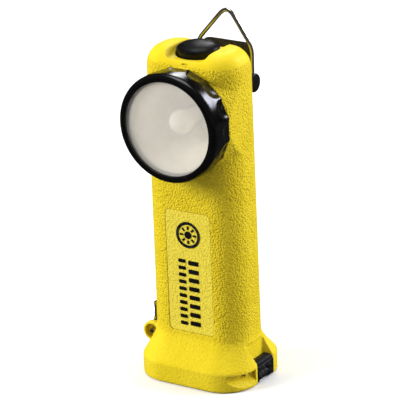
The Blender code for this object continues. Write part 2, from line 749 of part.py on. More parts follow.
def make_pack(mats):
    """Four cells, two abreast and two high, between end caps, with nickel straps."""
    middle = PACK_FOOT + CELL_LENGTH + STRAP_SPACE
    top = middle + STRAP_SPACE + CELL_LENGTH
    for side, side_name in ((-1, "left"), (1, "right")):
        for foot, level_name in ((PACK_FOOT, "lower"), (middle + STRAP_SPACE, "upper")):
            rod(
                f"cell_{level_name}_{side_name}",
                CELL_RADIUS,
                CELL_LENGTH,
                24,
                collection=PARTS,
                material=mats["sleeve"],
                location=(side * CELL_SPACING, 0, foot + CELL_LENGTH / 2),
            )
        block(
            f"cell_strap_{side_name}",
            (6 * MM, 14 * MM, STRAP_THICK),
            collection=PARTS,
            material=mats["steel"],
            location=(side * CELL_SPACING, 0, middle),
        )
    block(
        "pack_strap",
        (28 * MM, 6 * MM, STRAP_THICK),
        collection=PARTS,
        material=mats["steel"],
        location=(0, 0, PACK_FOOT - STRAP_THICK),
    )
    thick = 2 * MM
    for name, foot in (("pack_base", PACK_FOOT - thick - 1.2 * MM), ("pack_top", top + GAP)):
        loft(
            name,
            [(height, PACK_WIDTH, PACK_DEPTH, PACK_RADIUS) for height in (foot, foot + thick)],
            steps=5,
            collection=PARTS,
            material=mats["black"],
        )
    return top


def make_contacts(mats, pack_top):
    """Terminal block over the pack with two springs, and the charging contacts in the foot's slots."""
    block_width = PACK_WIDTH - 0.4 * MM
    loft(
        "contact_block",
        [(height, block_width, PACK_DEPTH, PACK_RADIUS) for height in (BLOCK_FOOT, BLOCK_FOOT + BLOCK_THICK)],
        steps=5,
        collection=PARTS,
        material=mats["black"],
    )
    coil = coil_points(3.4 * MM, pack_top + 3.2 * MM, BLOCK_FOOT - 0.8 * MM, 3)
    shank, chamfer, rim, head = CONTACT_RADIUS, 0.8 * MM, 0.2 * MM, 1.2 * MM
    contact = [
        (0, CONTACT_LENGTH),
        (shank - 0.4 * MM, CONTACT_LENGTH - rim),
        (shank, CONTACT_LENGTH - chamfer),
        (shank, 0),
        (CONTACT_HEAD_RADIUS, 0),
        (CONTACT_HEAD_RADIUS, -head),
        (0, -head),
    ]
    for side, side_name in ((-1, "left"), (1, "right")):
        wire(
            f"contact_spring_{side_name}",
            [(side * CELL_SPACING + x, y, z) for x, y, z in coil],
            0.4 * MM,
            resolution=1,
            collection=PARTS,
            material=mats["steel"],
        )
        x, y = slot_place(CONTACT_HEAD)
        turned(
            f"charge_contact_{side_name}",
            contact,
            steps=12,
            collection=PARTS,
            material=mats["brass"],
            location=(side * x, y, SLOT_Z),
            rotation=(0, side * math.radians(90), side * math.radians(SLOT_TURN)),
        )


def make_wires(mats):
    """Four pairs of leads. Each path is (outwards, back, up) in millimetres, mirrored for the other side."""
    bend, thick = 1.2 * MM, 0.55 * MM
    for side, side_name, colour in ((-1, "left", "black"), (1, "right", "red")):
        paths = {
            "charge_wire": [(17.4, -8.8, 7.6), (8, 4, 8), (2.2, 12.3, 8), (2.2, 12.3, 109), (2.2, 12.3, 112)],
            "lamp_wire": [(3, 8, 113.6), (3, 8, 118), (3, 10.4, 126), (3, 10.4, 132.1)],
            "switch_wire": [(3.5, 2, 163.6), (3.5, 2, 161.4), (3.5, 9, 160.4), (3.5, 10.4, 158.4)],
            "led_wire": [(6, 9.5, 157.4), (6, 8, 161.5), (6, -3.4, 161.5), (4, -3.6, 155)],
        }
        for name, path in paths.items():
            corners = [(side * x * MM, y * MM, z * MM) for x, y, z in path]
            wire(
                f"{name}_{side_name}",
                rounded_path(corners, bend, 2),
                thick,
                resolution=0,
                collection=PARTS,
                material=mats[colour],
            )


# ---------------------------------------------------------------- tail cap and latch


def make_tail_cap(mats):
    """Plate inset in the foot's mouth, with a hinge knuckle on its right edge and a tongue on its left."""
    hinge = frame_empty("tail_cap_hinge", (HINGE_X, 0, HINGE_Z))
    foot, top = -HINGE_Z, PLATE_TOP - HINGE_Z
    edge = 0.6 * MM
    cap = loft(
        "tail_cap",
        [
            (foot, PLATE_WIDTH - 2 * edge, PLATE_DEPTH - 2 * edge, PLATE_RADIUS - edge),
            (foot + edge, PLATE_WIDTH, PLATE_DEPTH, PLATE_RADIUS),
            (top, PLATE_WIDTH, PLATE_DEPTH, PLATE_RADIUS),
        ],
        steps=4,
        collection=PARTS,
        material=mats["black"],
        parent=hinge,
        location=(PLATE_MIDDLE - HINGE_X, 0, 0),
    )
    helper = {"collection": CUTTERS, "parent": hinge}
    arm = block(
        "arm_join",
        (ARM_LENGTH, 2 * KNUCKLE_HALF, top - foot - 0.2 * MM),
        location=(-ARM_LENGTH / 2, 0, (top + foot) / 2),
        **helper,
    )
    barrel = rod("knuckle_join", KNUCKLE_RADIUS, 2 * KNUCKLE_HALF, 24, rotation=AROUND_Y, **helper)
    left_edge = PLATE_MIDDLE - HINGE_X - PLATE_WIDTH / 2
    tongue = block(
        "tongue_join",
        TONGUE_SIZE,
        location=(left_edge + 1 * MM, 0, TONGUE_MIDDLE - HINGE_Z),
        **helper,
    )
    bore = rod("hinge_bore_cut", HINGE_PIN_RADIUS + PIN_SLACK, 20 * MM, 20, rotation=AROUND_Y, **helper)
    join(cap, arm, barrel, tongue)
    cut(cap, bore)
    inner_face = (-HINGE_X, 0, top + 0.15 * MM)
    seal = loft(
        "tail_seal",
        [(0, 49 * MM, 26.8 * MM, 10.8 * MM), (0.9 * MM, 48.6 * MM, 26.4 * MM, 10.6 * MM)],
        steps=5,
        collection=PARTS,
        material=mats["rubber"],
        parent=hinge,
        location=inner_face,
    )
    inside = loft(
        "seal_inside_cut",
        [(height, 43 * MM, 20 * MM, 7 * MM) for height in (-1 * MM, 4 * MM)],
        steps=4,
        collection=CUTTERS,
        parent=hinge,
        location=(-HINGE_X, 0, top),
    )
    cut(seal, inside)
    loft(
        "pack_cushion",
        [(height, 36 * MM, 13 * MM, 4 * MM) for height in (0, 1.6 * MM)],
        steps=3,
        collection=PARTS,
        material=mats["foam"],
        parent=hinge,
        location=inner_face,
    )


def make_hinge_block(mats):
    """Black block that fills the right pocket, split at its foot round the cap's knuckle, with its pin."""
    inner, outer, foot = GRIP_WIDTH / 2 + 0.7 * MM, FOOT_WIDTH / 2, 0.6 * MM
    outline = [(inner, foot), (outer, foot), (outer, HINGE_BLOCK_SHOULDER)]
    slope_foot = HINGE_BLOCK_SHOULDER + 1.4 * MM
    for step in range(5):
        t = step / 4
        out = outer - 0.5 * MM - (outer - inner - 1.6 * MM) * t
        outline.append((out, slope_foot + (HINGE_BLOCK_TOP - slope_foot) * math.sin(t * math.pi / 2)))
    outline.append((inner, HINGE_BLOCK_TOP - 0.5 * MM))
    body = plate(
        "hinge_block",
        outline,
        2 * (HINGE_POCKET - 0.3 * MM),
        collection=PARTS,
        material=mats["black"],
        rotation=AROUND_Y,
    )
    notch = block(
        "knuckle_room_cut",
        (12 * MM, 2 * KNUCKLE_HALF + 0.6 * MM, 9 * MM),
        location=(HINGE_X, 0, 2.3 * MM),
        collection=CUTTERS,
    )
    bore = rod(
        "block_bore_cut",
        HINGE_PIN_RADIUS + PIN_SLACK,
        30 * MM,
        20,
        location=(HINGE_X, 0, HINGE_Z),
        rotation=AROUND_Y,
        collection=CUTTERS,
    )
    cut(body, notch, bore)
    rod(
        "hinge_pin",
        HINGE_PIN_RADIUS,
        2 * (HINGE_POCKET - 0.5 * MM),
        20,
        location=(HINGE_X, 0, HINGE_Z),
        rotation=AROUND_Y,
        collection=PARTS,
        material=mats["steel"],
    )


def make_latch(mats):
    """Sprung steel lever on a pin between the foot's ears. Pressing its prongs swings the hook outwards."""
    pivot = frame_empty("latch_pivot", (LATCH_X, 0, LATCH_Z))
    half = LATCH_POCKET - 0.5 * MM
    # (outwards, up) from the pivot in millimetres, down the lever's outer face and back up its inner one
    tip, prong, swell = (0.6, 15.4), (0.1, 12), (0.2, 8)
    outer_side = [tip, prong, swell, (2.4, 2), (2.4, -2), (2.6, -12), (2.6, -18.4), (2, -19)]
    inner_side = [(2.6, -17.6), (2.6, -12), (2.4, -2), (2.4, 1), (0.2, 7.6), prong, tip]
    hook_end, hook_foot, hook_top = 1.6 * MM, -19 * MM, -17.6 * MM
    outline = [(-x * MM, z * MM) for x, z in outer_side]
    outline += [(hook_end, hook_foot), (hook_end, hook_top)]
    outline += [(LATCH_THICK - x * MM, z * MM) for x, z in inner_side]
    lever = plate(
        "latch_lever",
        outline,
        2 * half,
        collection=PARTS,
        material=mats["steel"],
        parent=pivot,
        rotation=AROUND_Y,
    )
    helper = {"collection": CUTTERS, "parent": pivot}
    barrel = rod("latch_barrel_join", LATCH_BARREL, 2 * half, 24, rotation=AROUND_Y, **helper)
    window = block("latch_window_cut", (14 * MM, 5.6 * MM, 24 * MM), location=(0, 0, 8.4 * MM), **helper)
    bore = rod("latch_bore_cut", LATCH_PIN_RADIUS + PIN_SLACK, 3 * EAR_FACE, 20, rotation=AROUND_Y, **helper)
    join(lever, barrel)
    cut(lever, window, bore)
    rod(
        "latch_pin",
        LATCH_PIN_RADIUS,
        2 * EAR_FACE,
        20,
        collection=PARTS,
        material=mats["steel"],
        location=(LATCH_X, 0, LATCH_Z),
        rotation=AROUND_Y,
    )
    # a coil round the pin, so it runs along Y, with one straight leg up against the shell
    coil = [(x, z, -y) for x, y, z in coil_points(2.1 * MM, -1.8 * MM, 1.8 * MM, 3.2)]
    wire(
        "latch_spring",
        [(0.7 * MM, -1.8 * MM, 6.6 * MM)] + coil,
        0.35 * MM,
        resolution=1,
        collection=PARTS,
        material=mats["steel"],
        location=(LATCH_X, 0, LATCH_Z),
    )


# ---------------------------------------------------------------- back clip and hanging ring


def make_bracket(mats):
    """Plate screwed to the back, with two round ears that hold the pin."""
    bracket = block(
        "clip_bracket",
        (2 * EAR_OUT, BRACKET_THICK, BRACKET_TOP - BRACKET_FOOT),
        0.5 * MM,
        collection=PARTS,
        material=mats["black"],
        location=(0, BRACKET_BACK + BRACKET_THICK / 2, (BRACKET_FOOT + BRACKET_TOP) / 2),
    )
    web_start = BRACKET_BACK + 0.6 * MM
    helpers = []
    for side, side_name in ((-1, "left"), (1, "right")):
        middle = side * (EAR_IN + EAR_OUT) / 2
        helpers.append(
            rod(
                f"ear_round_join_{side_name}",
                CLIP_EAR_RADIUS,
                EAR_OUT - EAR_IN,
                28,
                location=(middle, PIN_BACK, PIN_HEIGHT),
                rotation=AROUND_X,
                collection=CUTTERS,
            )
        )
        helpers.append(
            block(
                f"ear_web_join_{side_name}",
                (EAR_OUT - EAR_IN, PIN_BACK - web_start, 2 * CLIP_EAR_RADIUS - 1 * MM),
                location=(middle, (PIN_BACK + web_start) / 2, PIN_HEIGHT),
                collection=CUTTERS,
            )
        )
    bore = rod(
        "bracket_bore_cut",
        CLIP_PIN_RADIUS + PIN_SLACK,
        50 * MM,
        24,
        location=(0, PIN_BACK, PIN_HEIGHT),
        rotation=AROUND_X,
        collection=CUTTERS,
    )
    join(bracket, *helpers)
    cut(bracket, bore)
    for side, side_name in ((-1, "left"), (1, "right")):
        screw = turned(
            f"bracket_screw_{side_name}",
            [
                (0, SCREW_RISE),
                (SCREW_RADIUS - 0.6 * MM, SCREW_RISE - 0.3 * MM),
                (SCREW_RADIUS, SCREW_RISE - 1 * MM),
                (SCREW_RADIUS, 0),
                (0, 0),
            ],
            steps=20,
            collection=PARTS,
            material=mats["steel"],
            location=(side * SCREW_OUT, BRACKET_BACK + BRACKET_THICK + 0.2 * MM, BRACKET_FOOT + 4 * MM),
            rotation=(math.radians(-90), 0, 0),
        )
        cross = block(
            f"screw_slot_cut_{side_name}",
            (3.4 * MM, 0.7 * MM, 1.4 * MM),
            location=(0, 0, SCREW_RISE - 0.1 * MM),
            parent=screw,
            collection=CUTTERS,
        )
        cut(screw, cross)


def make_clip(mats):
    """Thumb tab, barrel and jaw in one piece, with its pin and torsion spring."""
    pivot = frame_empty("clip_pivot", (0, PIN_BACK, PIN_HEIGHT))
    half = EAR_IN - 0.4 * MM
    lever = rod(
        "clip_lever",
        3 * MM,
        2 * half,
        24,
        collection=PARTS,
        material=mats["black"],
        parent=pivot,
        rotation=AROUND_X,
    )
    helper = {"collection": CUTTERS, "parent": pivot}
    lean = math.atan2(TAB_LEAN, TAB_RISE)
    neck, neck_top = half - 0.2 * MM, CLIP_EAR_RADIUS + 0.8 * MM
    right = [(neck, 0), (neck, neck_top), (TAB_WIDTH / 2, neck_top + 1.2 * MM)]
    corner_x, corner_z = TAB_WIDTH / 2 - TAB_CORNER, TAB_RISE - TAB_CORNER
    for step in range(5):
        angle = step / 4 * math.pi / 2
        right.append((corner_x + TAB_CORNER * math.cos(angle), corner_z + TAB_CORNER * math.sin(angle)))
    tab_outline = right + [(-x, y) for x, y in reversed(right)]
    tab = plate(
        "tab_join",
        tab_outline,
        TAB_THICK,
        rotation=(math.radians(90) - lean, 0, 0),
        location=(0, 1.6 * MM, 0),
        **helper,
    )
    # (back, up) from the pivot in millimetres, down the jaw's back and up its front, which grips at its foot
    jaw_foot = -JAW_DROP / MM
    jaw_back = [(1.2, 3), (4.4, 1), (3.6, -10), (1.6, -34), (0.6, -46), (1.4, -54), (1.0, jaw_foot)]
    jaw_front = [(-1.2, jaw_foot), (-4.6, -53), (-4.6, -49), (-1.4, -40), (-0.6, -34), (1.2, -10), (0, -2)]
    jaw = plate(
        "jaw_join",
        [(y * MM, z * MM) for y, z in jaw_back + jaw_front],
        JAW_WIDTH,
        rotation=(math.radians(90), 0, math.radians(90)),
        **helper,
    )
    bore = rod("clip_bore_cut", CLIP_PIN_RADIUS + PIN_SLACK, 50 * MM, 24, rotation=AROUND_X, **helper)
    window = block("clip_window_cut", (10 * MM, 11 * MM, 6.6 * MM), location=(0, -2.5 * MM, 0), **helper)
    join(lever, tab, jaw)
    cut(lever, bore, window)
    rod(
        "clip_pin",
        CLIP_PIN_RADIUS,
        2 * (PIN_CAP_OUT - 0.3 * MM),
        24,
        collection=PARTS,
        material=mats["steel"],
        parent=pivot,
        rotation=AROUND_X,
    )
    cap_in = RING_LEG + RING_WIRE + 0.3 * MM
    for side, side_name in ((-1, "left"), (1, "right")):
        hole, foot = CLIP_PIN_RADIUS + 0.1 * MM, cap_in - PIN_CAP_OUT
        profile = [(hole, 0), (PIN_CAP_RADIUS - 0.8 * MM, 0), (PIN_CAP_RADIUS, -0.6 * MM)]
        profile += [(PIN_CAP_RADIUS, foot), (hole, foot)]
        turned(
            f"pin_cap_{side_name}",
            profile,
            closed=True,
            steps=24,
            collection=PARTS,
            material=mats["black"],
            parent=pivot,
            location=(side * PIN_CAP_OUT, 0, 0),
            rotation=(0, side * math.radians(90), 0),
        )
    coil = [(z, x, y) for x, y, z in coil_points(2.3 * MM, -3.6 * MM, 3.6 * MM, 4.2)]
    wire(
        "clip_spring", coil, 0.45 * MM, resolution=1, collection=PARTS, material=mats["steel"], parent=pivot
    )


def make_hanging_ring(mats):
    """Steel wire loop whose ends are rolled into eyes round the clip's pin, outside the bracket's ears."""
    pivot = frame_empty("ring_pivot", (0, PIN_BACK, PIN_HEIGHT), (-math.radians(RING_LEAN), 0, 0))
    eye = CLIP_PIN_RADIUS + RING_WIRE + 0.15 * MM
    left = []
    for step in range(11):
        angle = math.radians(60 + 270 * step / 10)
        left.append((-RING_LEG, eye * math.sin(angle), eye * math.cos(angle)))
    left.append((-RING_LEG, 0, eye + 2.4 * MM))
    corners = [
        (-RING_LEG, 0, eye + 4 * MM),
        (1.4 * MM - RING_LEG, 0, RING_SHOULDER),
        (0, 0, RING_TOP),
        (RING_LEG - 1.4 * MM, 0, RING_SHOULDER),
        (RING_LEG, 0, eye + 4 * MM),
    ]
    path = [corners[0]]
    for i, bend in enumerate((4 * MM, 7 * MM, 4 * MM)):
        path += rounded_path(corners[i : i + 3], bend, 6)[1:-1]
    path.append(corners[-1])
    right = [(-x, y, z) for x, y, z in reversed(left)]
    whole = left + path + right
    wire("hanging_ring", whole, RING_WIRE, collection=PARTS, material=mats["steel"], parent=pivot)


if __name__ == "__main__":
    clear_scene()
    PARTS = new_collection("firefighter_flashlight")
    CUTTERS = new_collection("cutters")
    materials = make_materials()
    head_axis = frame_empty("head_axis", (0, 0, HEAD_HEIGHT), AROUND_Y)
    make_body_shell(materials, head_axis)
    make_label(materials)
    make_face_cap(materials, head_axis)
    make_lens(materials, head_axis)
    make_seals(materials, head_axis)
    make_reflector(materials, head_axis)
    make_lamp_parts(materials, head_axis)
    make_button(materials)
    make_switch(materials)
    make_contacts(materials, make_pack(materials))
    make_wires(materials)
    make_tail_cap(materials)
    make_hinge_block(materials)
    make_latch(materials)
    make_bracket(materials)
    make_clip(materials)
    make_hanging_ring(materials)
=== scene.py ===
"""The firefighter flashlight as it is seen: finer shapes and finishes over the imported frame.

Sizes are in millimetres and angles in degrees, unless a comment says otherwise. The light stands on Z = 0,
its lamp faces -Y, and the tail cap's hinge is on the right, along +X.
"""

import json
import math

import bmesh
import bpy
from mathutils import Matrix, Vector


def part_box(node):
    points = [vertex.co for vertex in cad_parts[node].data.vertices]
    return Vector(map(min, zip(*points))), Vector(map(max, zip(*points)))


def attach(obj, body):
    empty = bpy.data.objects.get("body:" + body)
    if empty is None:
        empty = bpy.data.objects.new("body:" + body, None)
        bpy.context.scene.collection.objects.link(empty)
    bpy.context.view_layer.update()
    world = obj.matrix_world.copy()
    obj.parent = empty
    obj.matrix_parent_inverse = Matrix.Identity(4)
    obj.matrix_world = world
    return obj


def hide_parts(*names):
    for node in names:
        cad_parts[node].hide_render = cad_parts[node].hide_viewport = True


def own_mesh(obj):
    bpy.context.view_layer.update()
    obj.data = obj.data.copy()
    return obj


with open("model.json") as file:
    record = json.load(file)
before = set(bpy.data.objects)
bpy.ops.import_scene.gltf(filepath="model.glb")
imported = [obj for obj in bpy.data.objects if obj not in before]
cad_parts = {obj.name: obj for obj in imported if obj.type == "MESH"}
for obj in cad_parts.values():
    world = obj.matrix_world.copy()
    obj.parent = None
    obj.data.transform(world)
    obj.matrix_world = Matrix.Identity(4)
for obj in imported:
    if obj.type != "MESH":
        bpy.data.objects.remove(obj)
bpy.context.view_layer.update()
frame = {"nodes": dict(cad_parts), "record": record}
NODES = frame["nodes"]
MM = 0.001
X, Y, Z = 0, 1, 2
LOW, HIGH = 0, 1


def side_of(node, end, axis):
    """The low or high side of a node's box along an axis."""
    return round(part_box(node)[end][axis] / MM, 2)


def middle_of(node, axis):
    low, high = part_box(node)
    return round((low[axis] + high[axis]) / 2 / MM, 2)


# the body's driving sizes
GRIP_WIDTH, GRIP_DEPTH, GRIP_RADIUS = 55.6, 33.0, 14.5
FOOT_WIDTH, FOOT_DEPTH = 2 * side_of("hinge_block", HIGH, X), 2 * side_of("body_shell", HIGH, Y)
FOOT_RADIUS, FOOT_BAND, FLARE_TOP = 18.5, 10.4, 23.0
BODY_HEIGHT = side_of("body_shell", HIGH, Z)
WALL, BAY_DEPTH = 3.0, 27.4
VALLEY_WIDTH, VALLEY_FLOOR = 25.4, 176.0

# the lamp's axis, and heights along it from the body's middle plane
HEAD_HEIGHT = middle_of("lens", Z)
LENS_FRONT, LENS_BACK = -side_of("lens", LOW, Y), -side_of("lens", HIGH, Y)
LENS_RADIUS = side_of("lens", HIGH, X)
CAP_FRONT, CAP_REAR = -side_of("face_cap", LOW, Y), -side_of("face_cap", HIGH, Y)
CAP_RADIUS, CAP_BORE = 29.1, 26.9
NECK_RADIUS, NECK_FRONT = 26.4, 27.5
REFLECTOR_FOCUS, REFLECTOR_VERTEX = 6.3, 4.44

# the face cap's finger hollows
CAP_HOLLOWS, HOLLOW_DEPTH, HOLLOW_REACH = 16, 0.8, 7.8
HOLLOW_WIDTH = 0.93  # share of the pitch
HOLLOW_SQUARENESS, HOLLOW_SLOPE = 2.4, 1.4

# the label's face and the marks on it
LABEL_MIDDLE, LABEL_FACE = middle_of("label_plate", Z), -GRIP_DEPTH / 2 - 0.25
MARK_HEIGHT, MARK_THICKNESS, MARK_LIFT = 82, 0.35, 0.17

# the pins that things turn on
PIN_BACK, PIN_HEIGHT, PIN_RADIUS = middle_of("clip_pin", Y), middle_of("clip_pin", Z), 1.6
LATCH_X, LATCH_Z, LATCH_PIN_RADIUS = middle_of("latch_pin", X), middle_of("latch_pin", Z), 1.4
HINGE_X, HINGE_Z, HINGE_PIN_RADIUS = middle_of("hinge_pin", X), middle_of("hinge_pin", Z), 1.2
PIN_SLACK = 0.06
EAR_SPAN = 19.6  # over both of the latch's ears


# ---- mesh helpers


def to_object(name, bm, matrix=None, smooth=True, sharp=40):
    """Makes an object of the mesh, in metres. Edges sharper than sharp stay hard."""
    bmesh.ops.recalc_face_normals(bm, faces=bm.faces)
    if matrix is not None:
        bmesh.ops.transform(bm, matrix=matrix, verts=bm.verts)
    bmesh.ops.scale(bm, vec=(MM, MM, MM), verts=bm.verts)
    mesh = bpy.data.meshes.new(name)
    bm.to_mesh(mesh)
    bm.free()
    if smooth:
        mesh.shade_smooth()
        if sharp:
            mesh.set_sharp_from_angle(angle=math.radians(sharp))
    obj = bpy.data.objects.new(name, mesh)
    bpy.context.scene.collection.objects.link(obj)
    return obj


def place(x=0, y=0, z=0, rx=0, ry=0, rz=0):
    """Turns about X, then Y, then Z, then moves."""
    turn = Matrix.Rotation(math.radians(rz), 4, "Z") @ Matrix.Rotation(math.radians(ry), 4, "Y")
    return Matrix.Translation((x, y, z)) @ turn @ Matrix.Rotation(math.radians(rx), 4, "X")


HEAD = place(z=HEAD_HEIGHT, rx=90)  # Z runs forwards along the lamp's axis
LATCH = place(LATCH_X, 0, LATCH_Z)
CLIP = place(0, PIN_BACK, PIN_HEIGHT)


def rounded_outline(width, depth, radius, steps):
    """A rectangle with round corners."""
    points = []
    for corner in range(4):
        middle_x = (width / 2 - radius) * (1 if corner in (0, 3) else -1)
        middle_y = (depth / 2 - radius) * (1 if corner in (0, 1) else -1)
        for step in range(steps + 1):
            angle = (corner + step / steps) * math.pi / 2
            points.append((middle_x + radius * math.cos(angle), middle_y + radius * math.sin(angle)))
    return points


def circle(radius, height, steps):
    angles = [2 * math.pi * i / steps for i in range(steps)]
    return [(radius * math.cos(a), radius * math.sin(a), height) for a in angles]


def mirrored(outline):
    """The outline's points in the opposite order, on the other side of X = 0."""
    return [(-x, y) for x, y in reversed(outline)]


def skin(bm, rings, caps=True, loop=False):
    """Quads between rings of points. The ends are capped, or with loop the last ring joins the first."""
    made = [[bm.verts.new(p) for p in ring] for ring in rings]
    pairs = list(zip(made, made[1:]))
    if loop:
        pairs.append((made[-1], made[0]))
    count = len(made[0])
    for lower, upper in pairs:
        for i in range(count):
            j = (i + 1) % count
            bm.faces.new((lower[i], lower[j], upper[j], upper[i]))
    if caps and not loop:
        bm.faces.new(made[0][::-1])
        bm.faces.new(made[-1])


def loft(name, sections, steps=8, matrix=None):
    """Rounded rectangles, each (height, width, depth, corner radius), joined into a solid."""
    bm = bmesh.new()
    rings = [[(x, y, z) for x, y in rounded_outline(w, d, r, steps)] for z, w, d, r in sections]
    skin(bm, rings)
    return to_object(name, bm, matrix)


def turned(name, profile, steps=64, matrix=None, closed=False, **shading):
    """(radius, height) points turned about Z. Points on the axis are merged."""
    bm = bmesh.new()
    rings = [circle(radius, height, steps) for radius, height in profile]
    skin(bm, rings, caps=False, loop=closed)
    bmesh.ops.remove_doubles(bm, verts=bm.verts, dist=0.0005)
    return to_object(name, bm, matrix, **shading)


def cylinder(name, radius, length, matrix, steps=48):
    half = length / 2
    return turned(name, [(0, half), (radius, half), (radius, -half), (0, -half)], steps, matrix)


def cuboid(name, size, matrix):
    bm = bmesh.new()
    bmesh.ops.create_cube(bm, size=1.0)
    bmesh.ops.scale(bm, vec=size, verts=bm.verts)
    return to_object(name, bm, matrix, smooth=False)


def prism(name, outline, thickness, matrix=None, bevel=0.0, segments=3):
    """A flat outline in XY given thickness along Z, with its rims rounded."""
    bm = bmesh.new()
    low = [bm.verts.new((x, y, -thickness / 2)) for x, y in outline]
    high = [bm.verts.new((x, y, thickness / 2)) for x, y in outline]
    count = len(outline)
    for i in range(count):
        j = (i + 1) % count
        bm.faces.new((low[i], low[j], high[j], high[i]))
    rims = [bm.faces.new(low[::-1]), bm.faces.new(high)]
    if bevel:
        edges = list({edge for face in rims for edge in face.edges})
        shape = {"offset": bevel, "segments": segments, "profile": 0.5}
        bmesh.ops.bevel(bm, geom=edges, affect="EDGES", clamp_overlap=True, **shape)
    return to_object(name, bm, matrix)


def rounded_end(ring, tip, following, radius):
    """A smaller ring just past a wire's tip, which rounds the wire's end."""
    shrink, reach = 0.55, 0.35
    return [tip + (p - tip) * shrink - (following - tip).normalized() * radius * reach for p in ring]


def tube(name, path, radius, sides=12, matrix=None):
    """A round wire swept along a path, its rings carried along without twist."""
    points = [Vector(p) for p in path]
    normal = (points[1] - points[0]).normalized().orthogonal().normalized()
    angles = [2 * math.pi * k / sides for k in range(sides)]
    rings = []
    for i, here in enumerate(points):
        before = points[max(i - 1, 0)]
        after = points[min(i + 1, len(points) - 1)]
        along = (after - before).normalized()
        normal = (normal - along * normal.dot(along)).normalized()
        side = along.cross(normal)
        rings.append([here + (normal * math.cos(a) + side * math.sin(a)) * radius for a in angles])
    start = rounded_end(rings[0], points[0], points[1], radius)
    end = rounded_end(rings[-1], points[-1], points[-2], radius)
    bm = bmesh.new()
    skin(bm, [start, *rings, end])
    return to_object(name, bm, matrix, sharp=60)


def smooth_path(corners, bends, steps):
    """Straight runs between corners, joined by curves that start the bend's length from each corner."""
    corners = [Vector(corner) for corner in corners]
    points = [corners[0]]
    for before, here, after, bend in zip(corners, corners[1:], corners[2:], bends):
        start = here + (before - here).normalized() * bend
        end = here + (after - here).normalized() * bend
        for step in range(steps + 1):
            t = step / steps
            points.append(start * (1 - t) ** 2 + here * 2 * t * (1 - t) + end * t**2)
    points.append(corners[-1])
    return points


def coil(radius, bottom, top, turns, per_turn=20):
    """Points of a helix about Z."""
    count = round(turns * per_turn)
    points = []
    for i in range(count + 1):
        angle = 2 * math.pi * i / per_turn
        height = bottom + (top - bottom) * i / count
        points.append((radius * math.cos(angle), radius * math.sin(angle), height))
    return points


def bake(obj):
    """Applies the modifiers to the mesh."""
    graph = bpy.context.evaluated_depsgraph_get()
    mesh = bpy.data.meshes.new_from_object(obj.evaluated_get(graph))
    obj.modifiers.clear()
    old = obj.data
    obj.data = mesh
    bpy.data.meshes.remove(old)


def combine(obj, operation, others):
    """Joins, cuts or intersects the object with others, which are used up."""
    for other in others:
        modifier = obj.modifiers.new(operation, "BOOLEAN")
        modifier.operation = operation
        modifier.solver = "MANIFOLD"
        modifier.object = other
    bake(obj)
    for other in others:
        bpy.data.objects.remove(other)


def join(obj, *others):
    combine(obj, "UNION", others)


def cut(obj, *cutters):
    combine(obj, "DIFFERENCE", cutters)


def trim(obj, keep):
    combine(obj, "INTERSECT", [keep])


def soften(obj, voxel, passes):
    """Rounds every edge a little, as moulding does: an even remesh, then smoothing."""
    remesh = obj.modifiers.new("remesh", "REMESH")
    remesh.mode = "VOXEL"
    remesh.voxel_size = voxel * MM
    smooth = obj.modifiers.new("smooth", "SMOOTH")
    smooth.factor = 0.5
    smooth.iterations = passes
    bake(obj)
    obj.data.shade_smooth()


def shade(obj, angle=35):
    """Smooth shading, with edges sharper than the angle kept hard."""
    obj.data.shade_smooth()
    obj.data.set_sharp_from_angle(angle=math.radians(angle))


def round_edges(obj, width):
    """Small round on every hard edge, then smooth shading."""
    bevel = obj.modifiers.new("rounds", "BEVEL")
    bevel.width = width * MM
    bevel.segments = 3
    bevel.limit_method = "ANGLE"
    bevel.angle_limit = math.radians(40)
    bake(obj)
    shade(obj)


def piece(obj, look, body, slot, *stands_for):
    """Finishes a piece and says which body it rides on and which nodes of the frame it stands for."""
    obj.data.materials.clear()
    obj.data.materials.append(LOOK[look])
    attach(obj, body)
    if stands_for:
        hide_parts(*stands_for)


# ---- materials


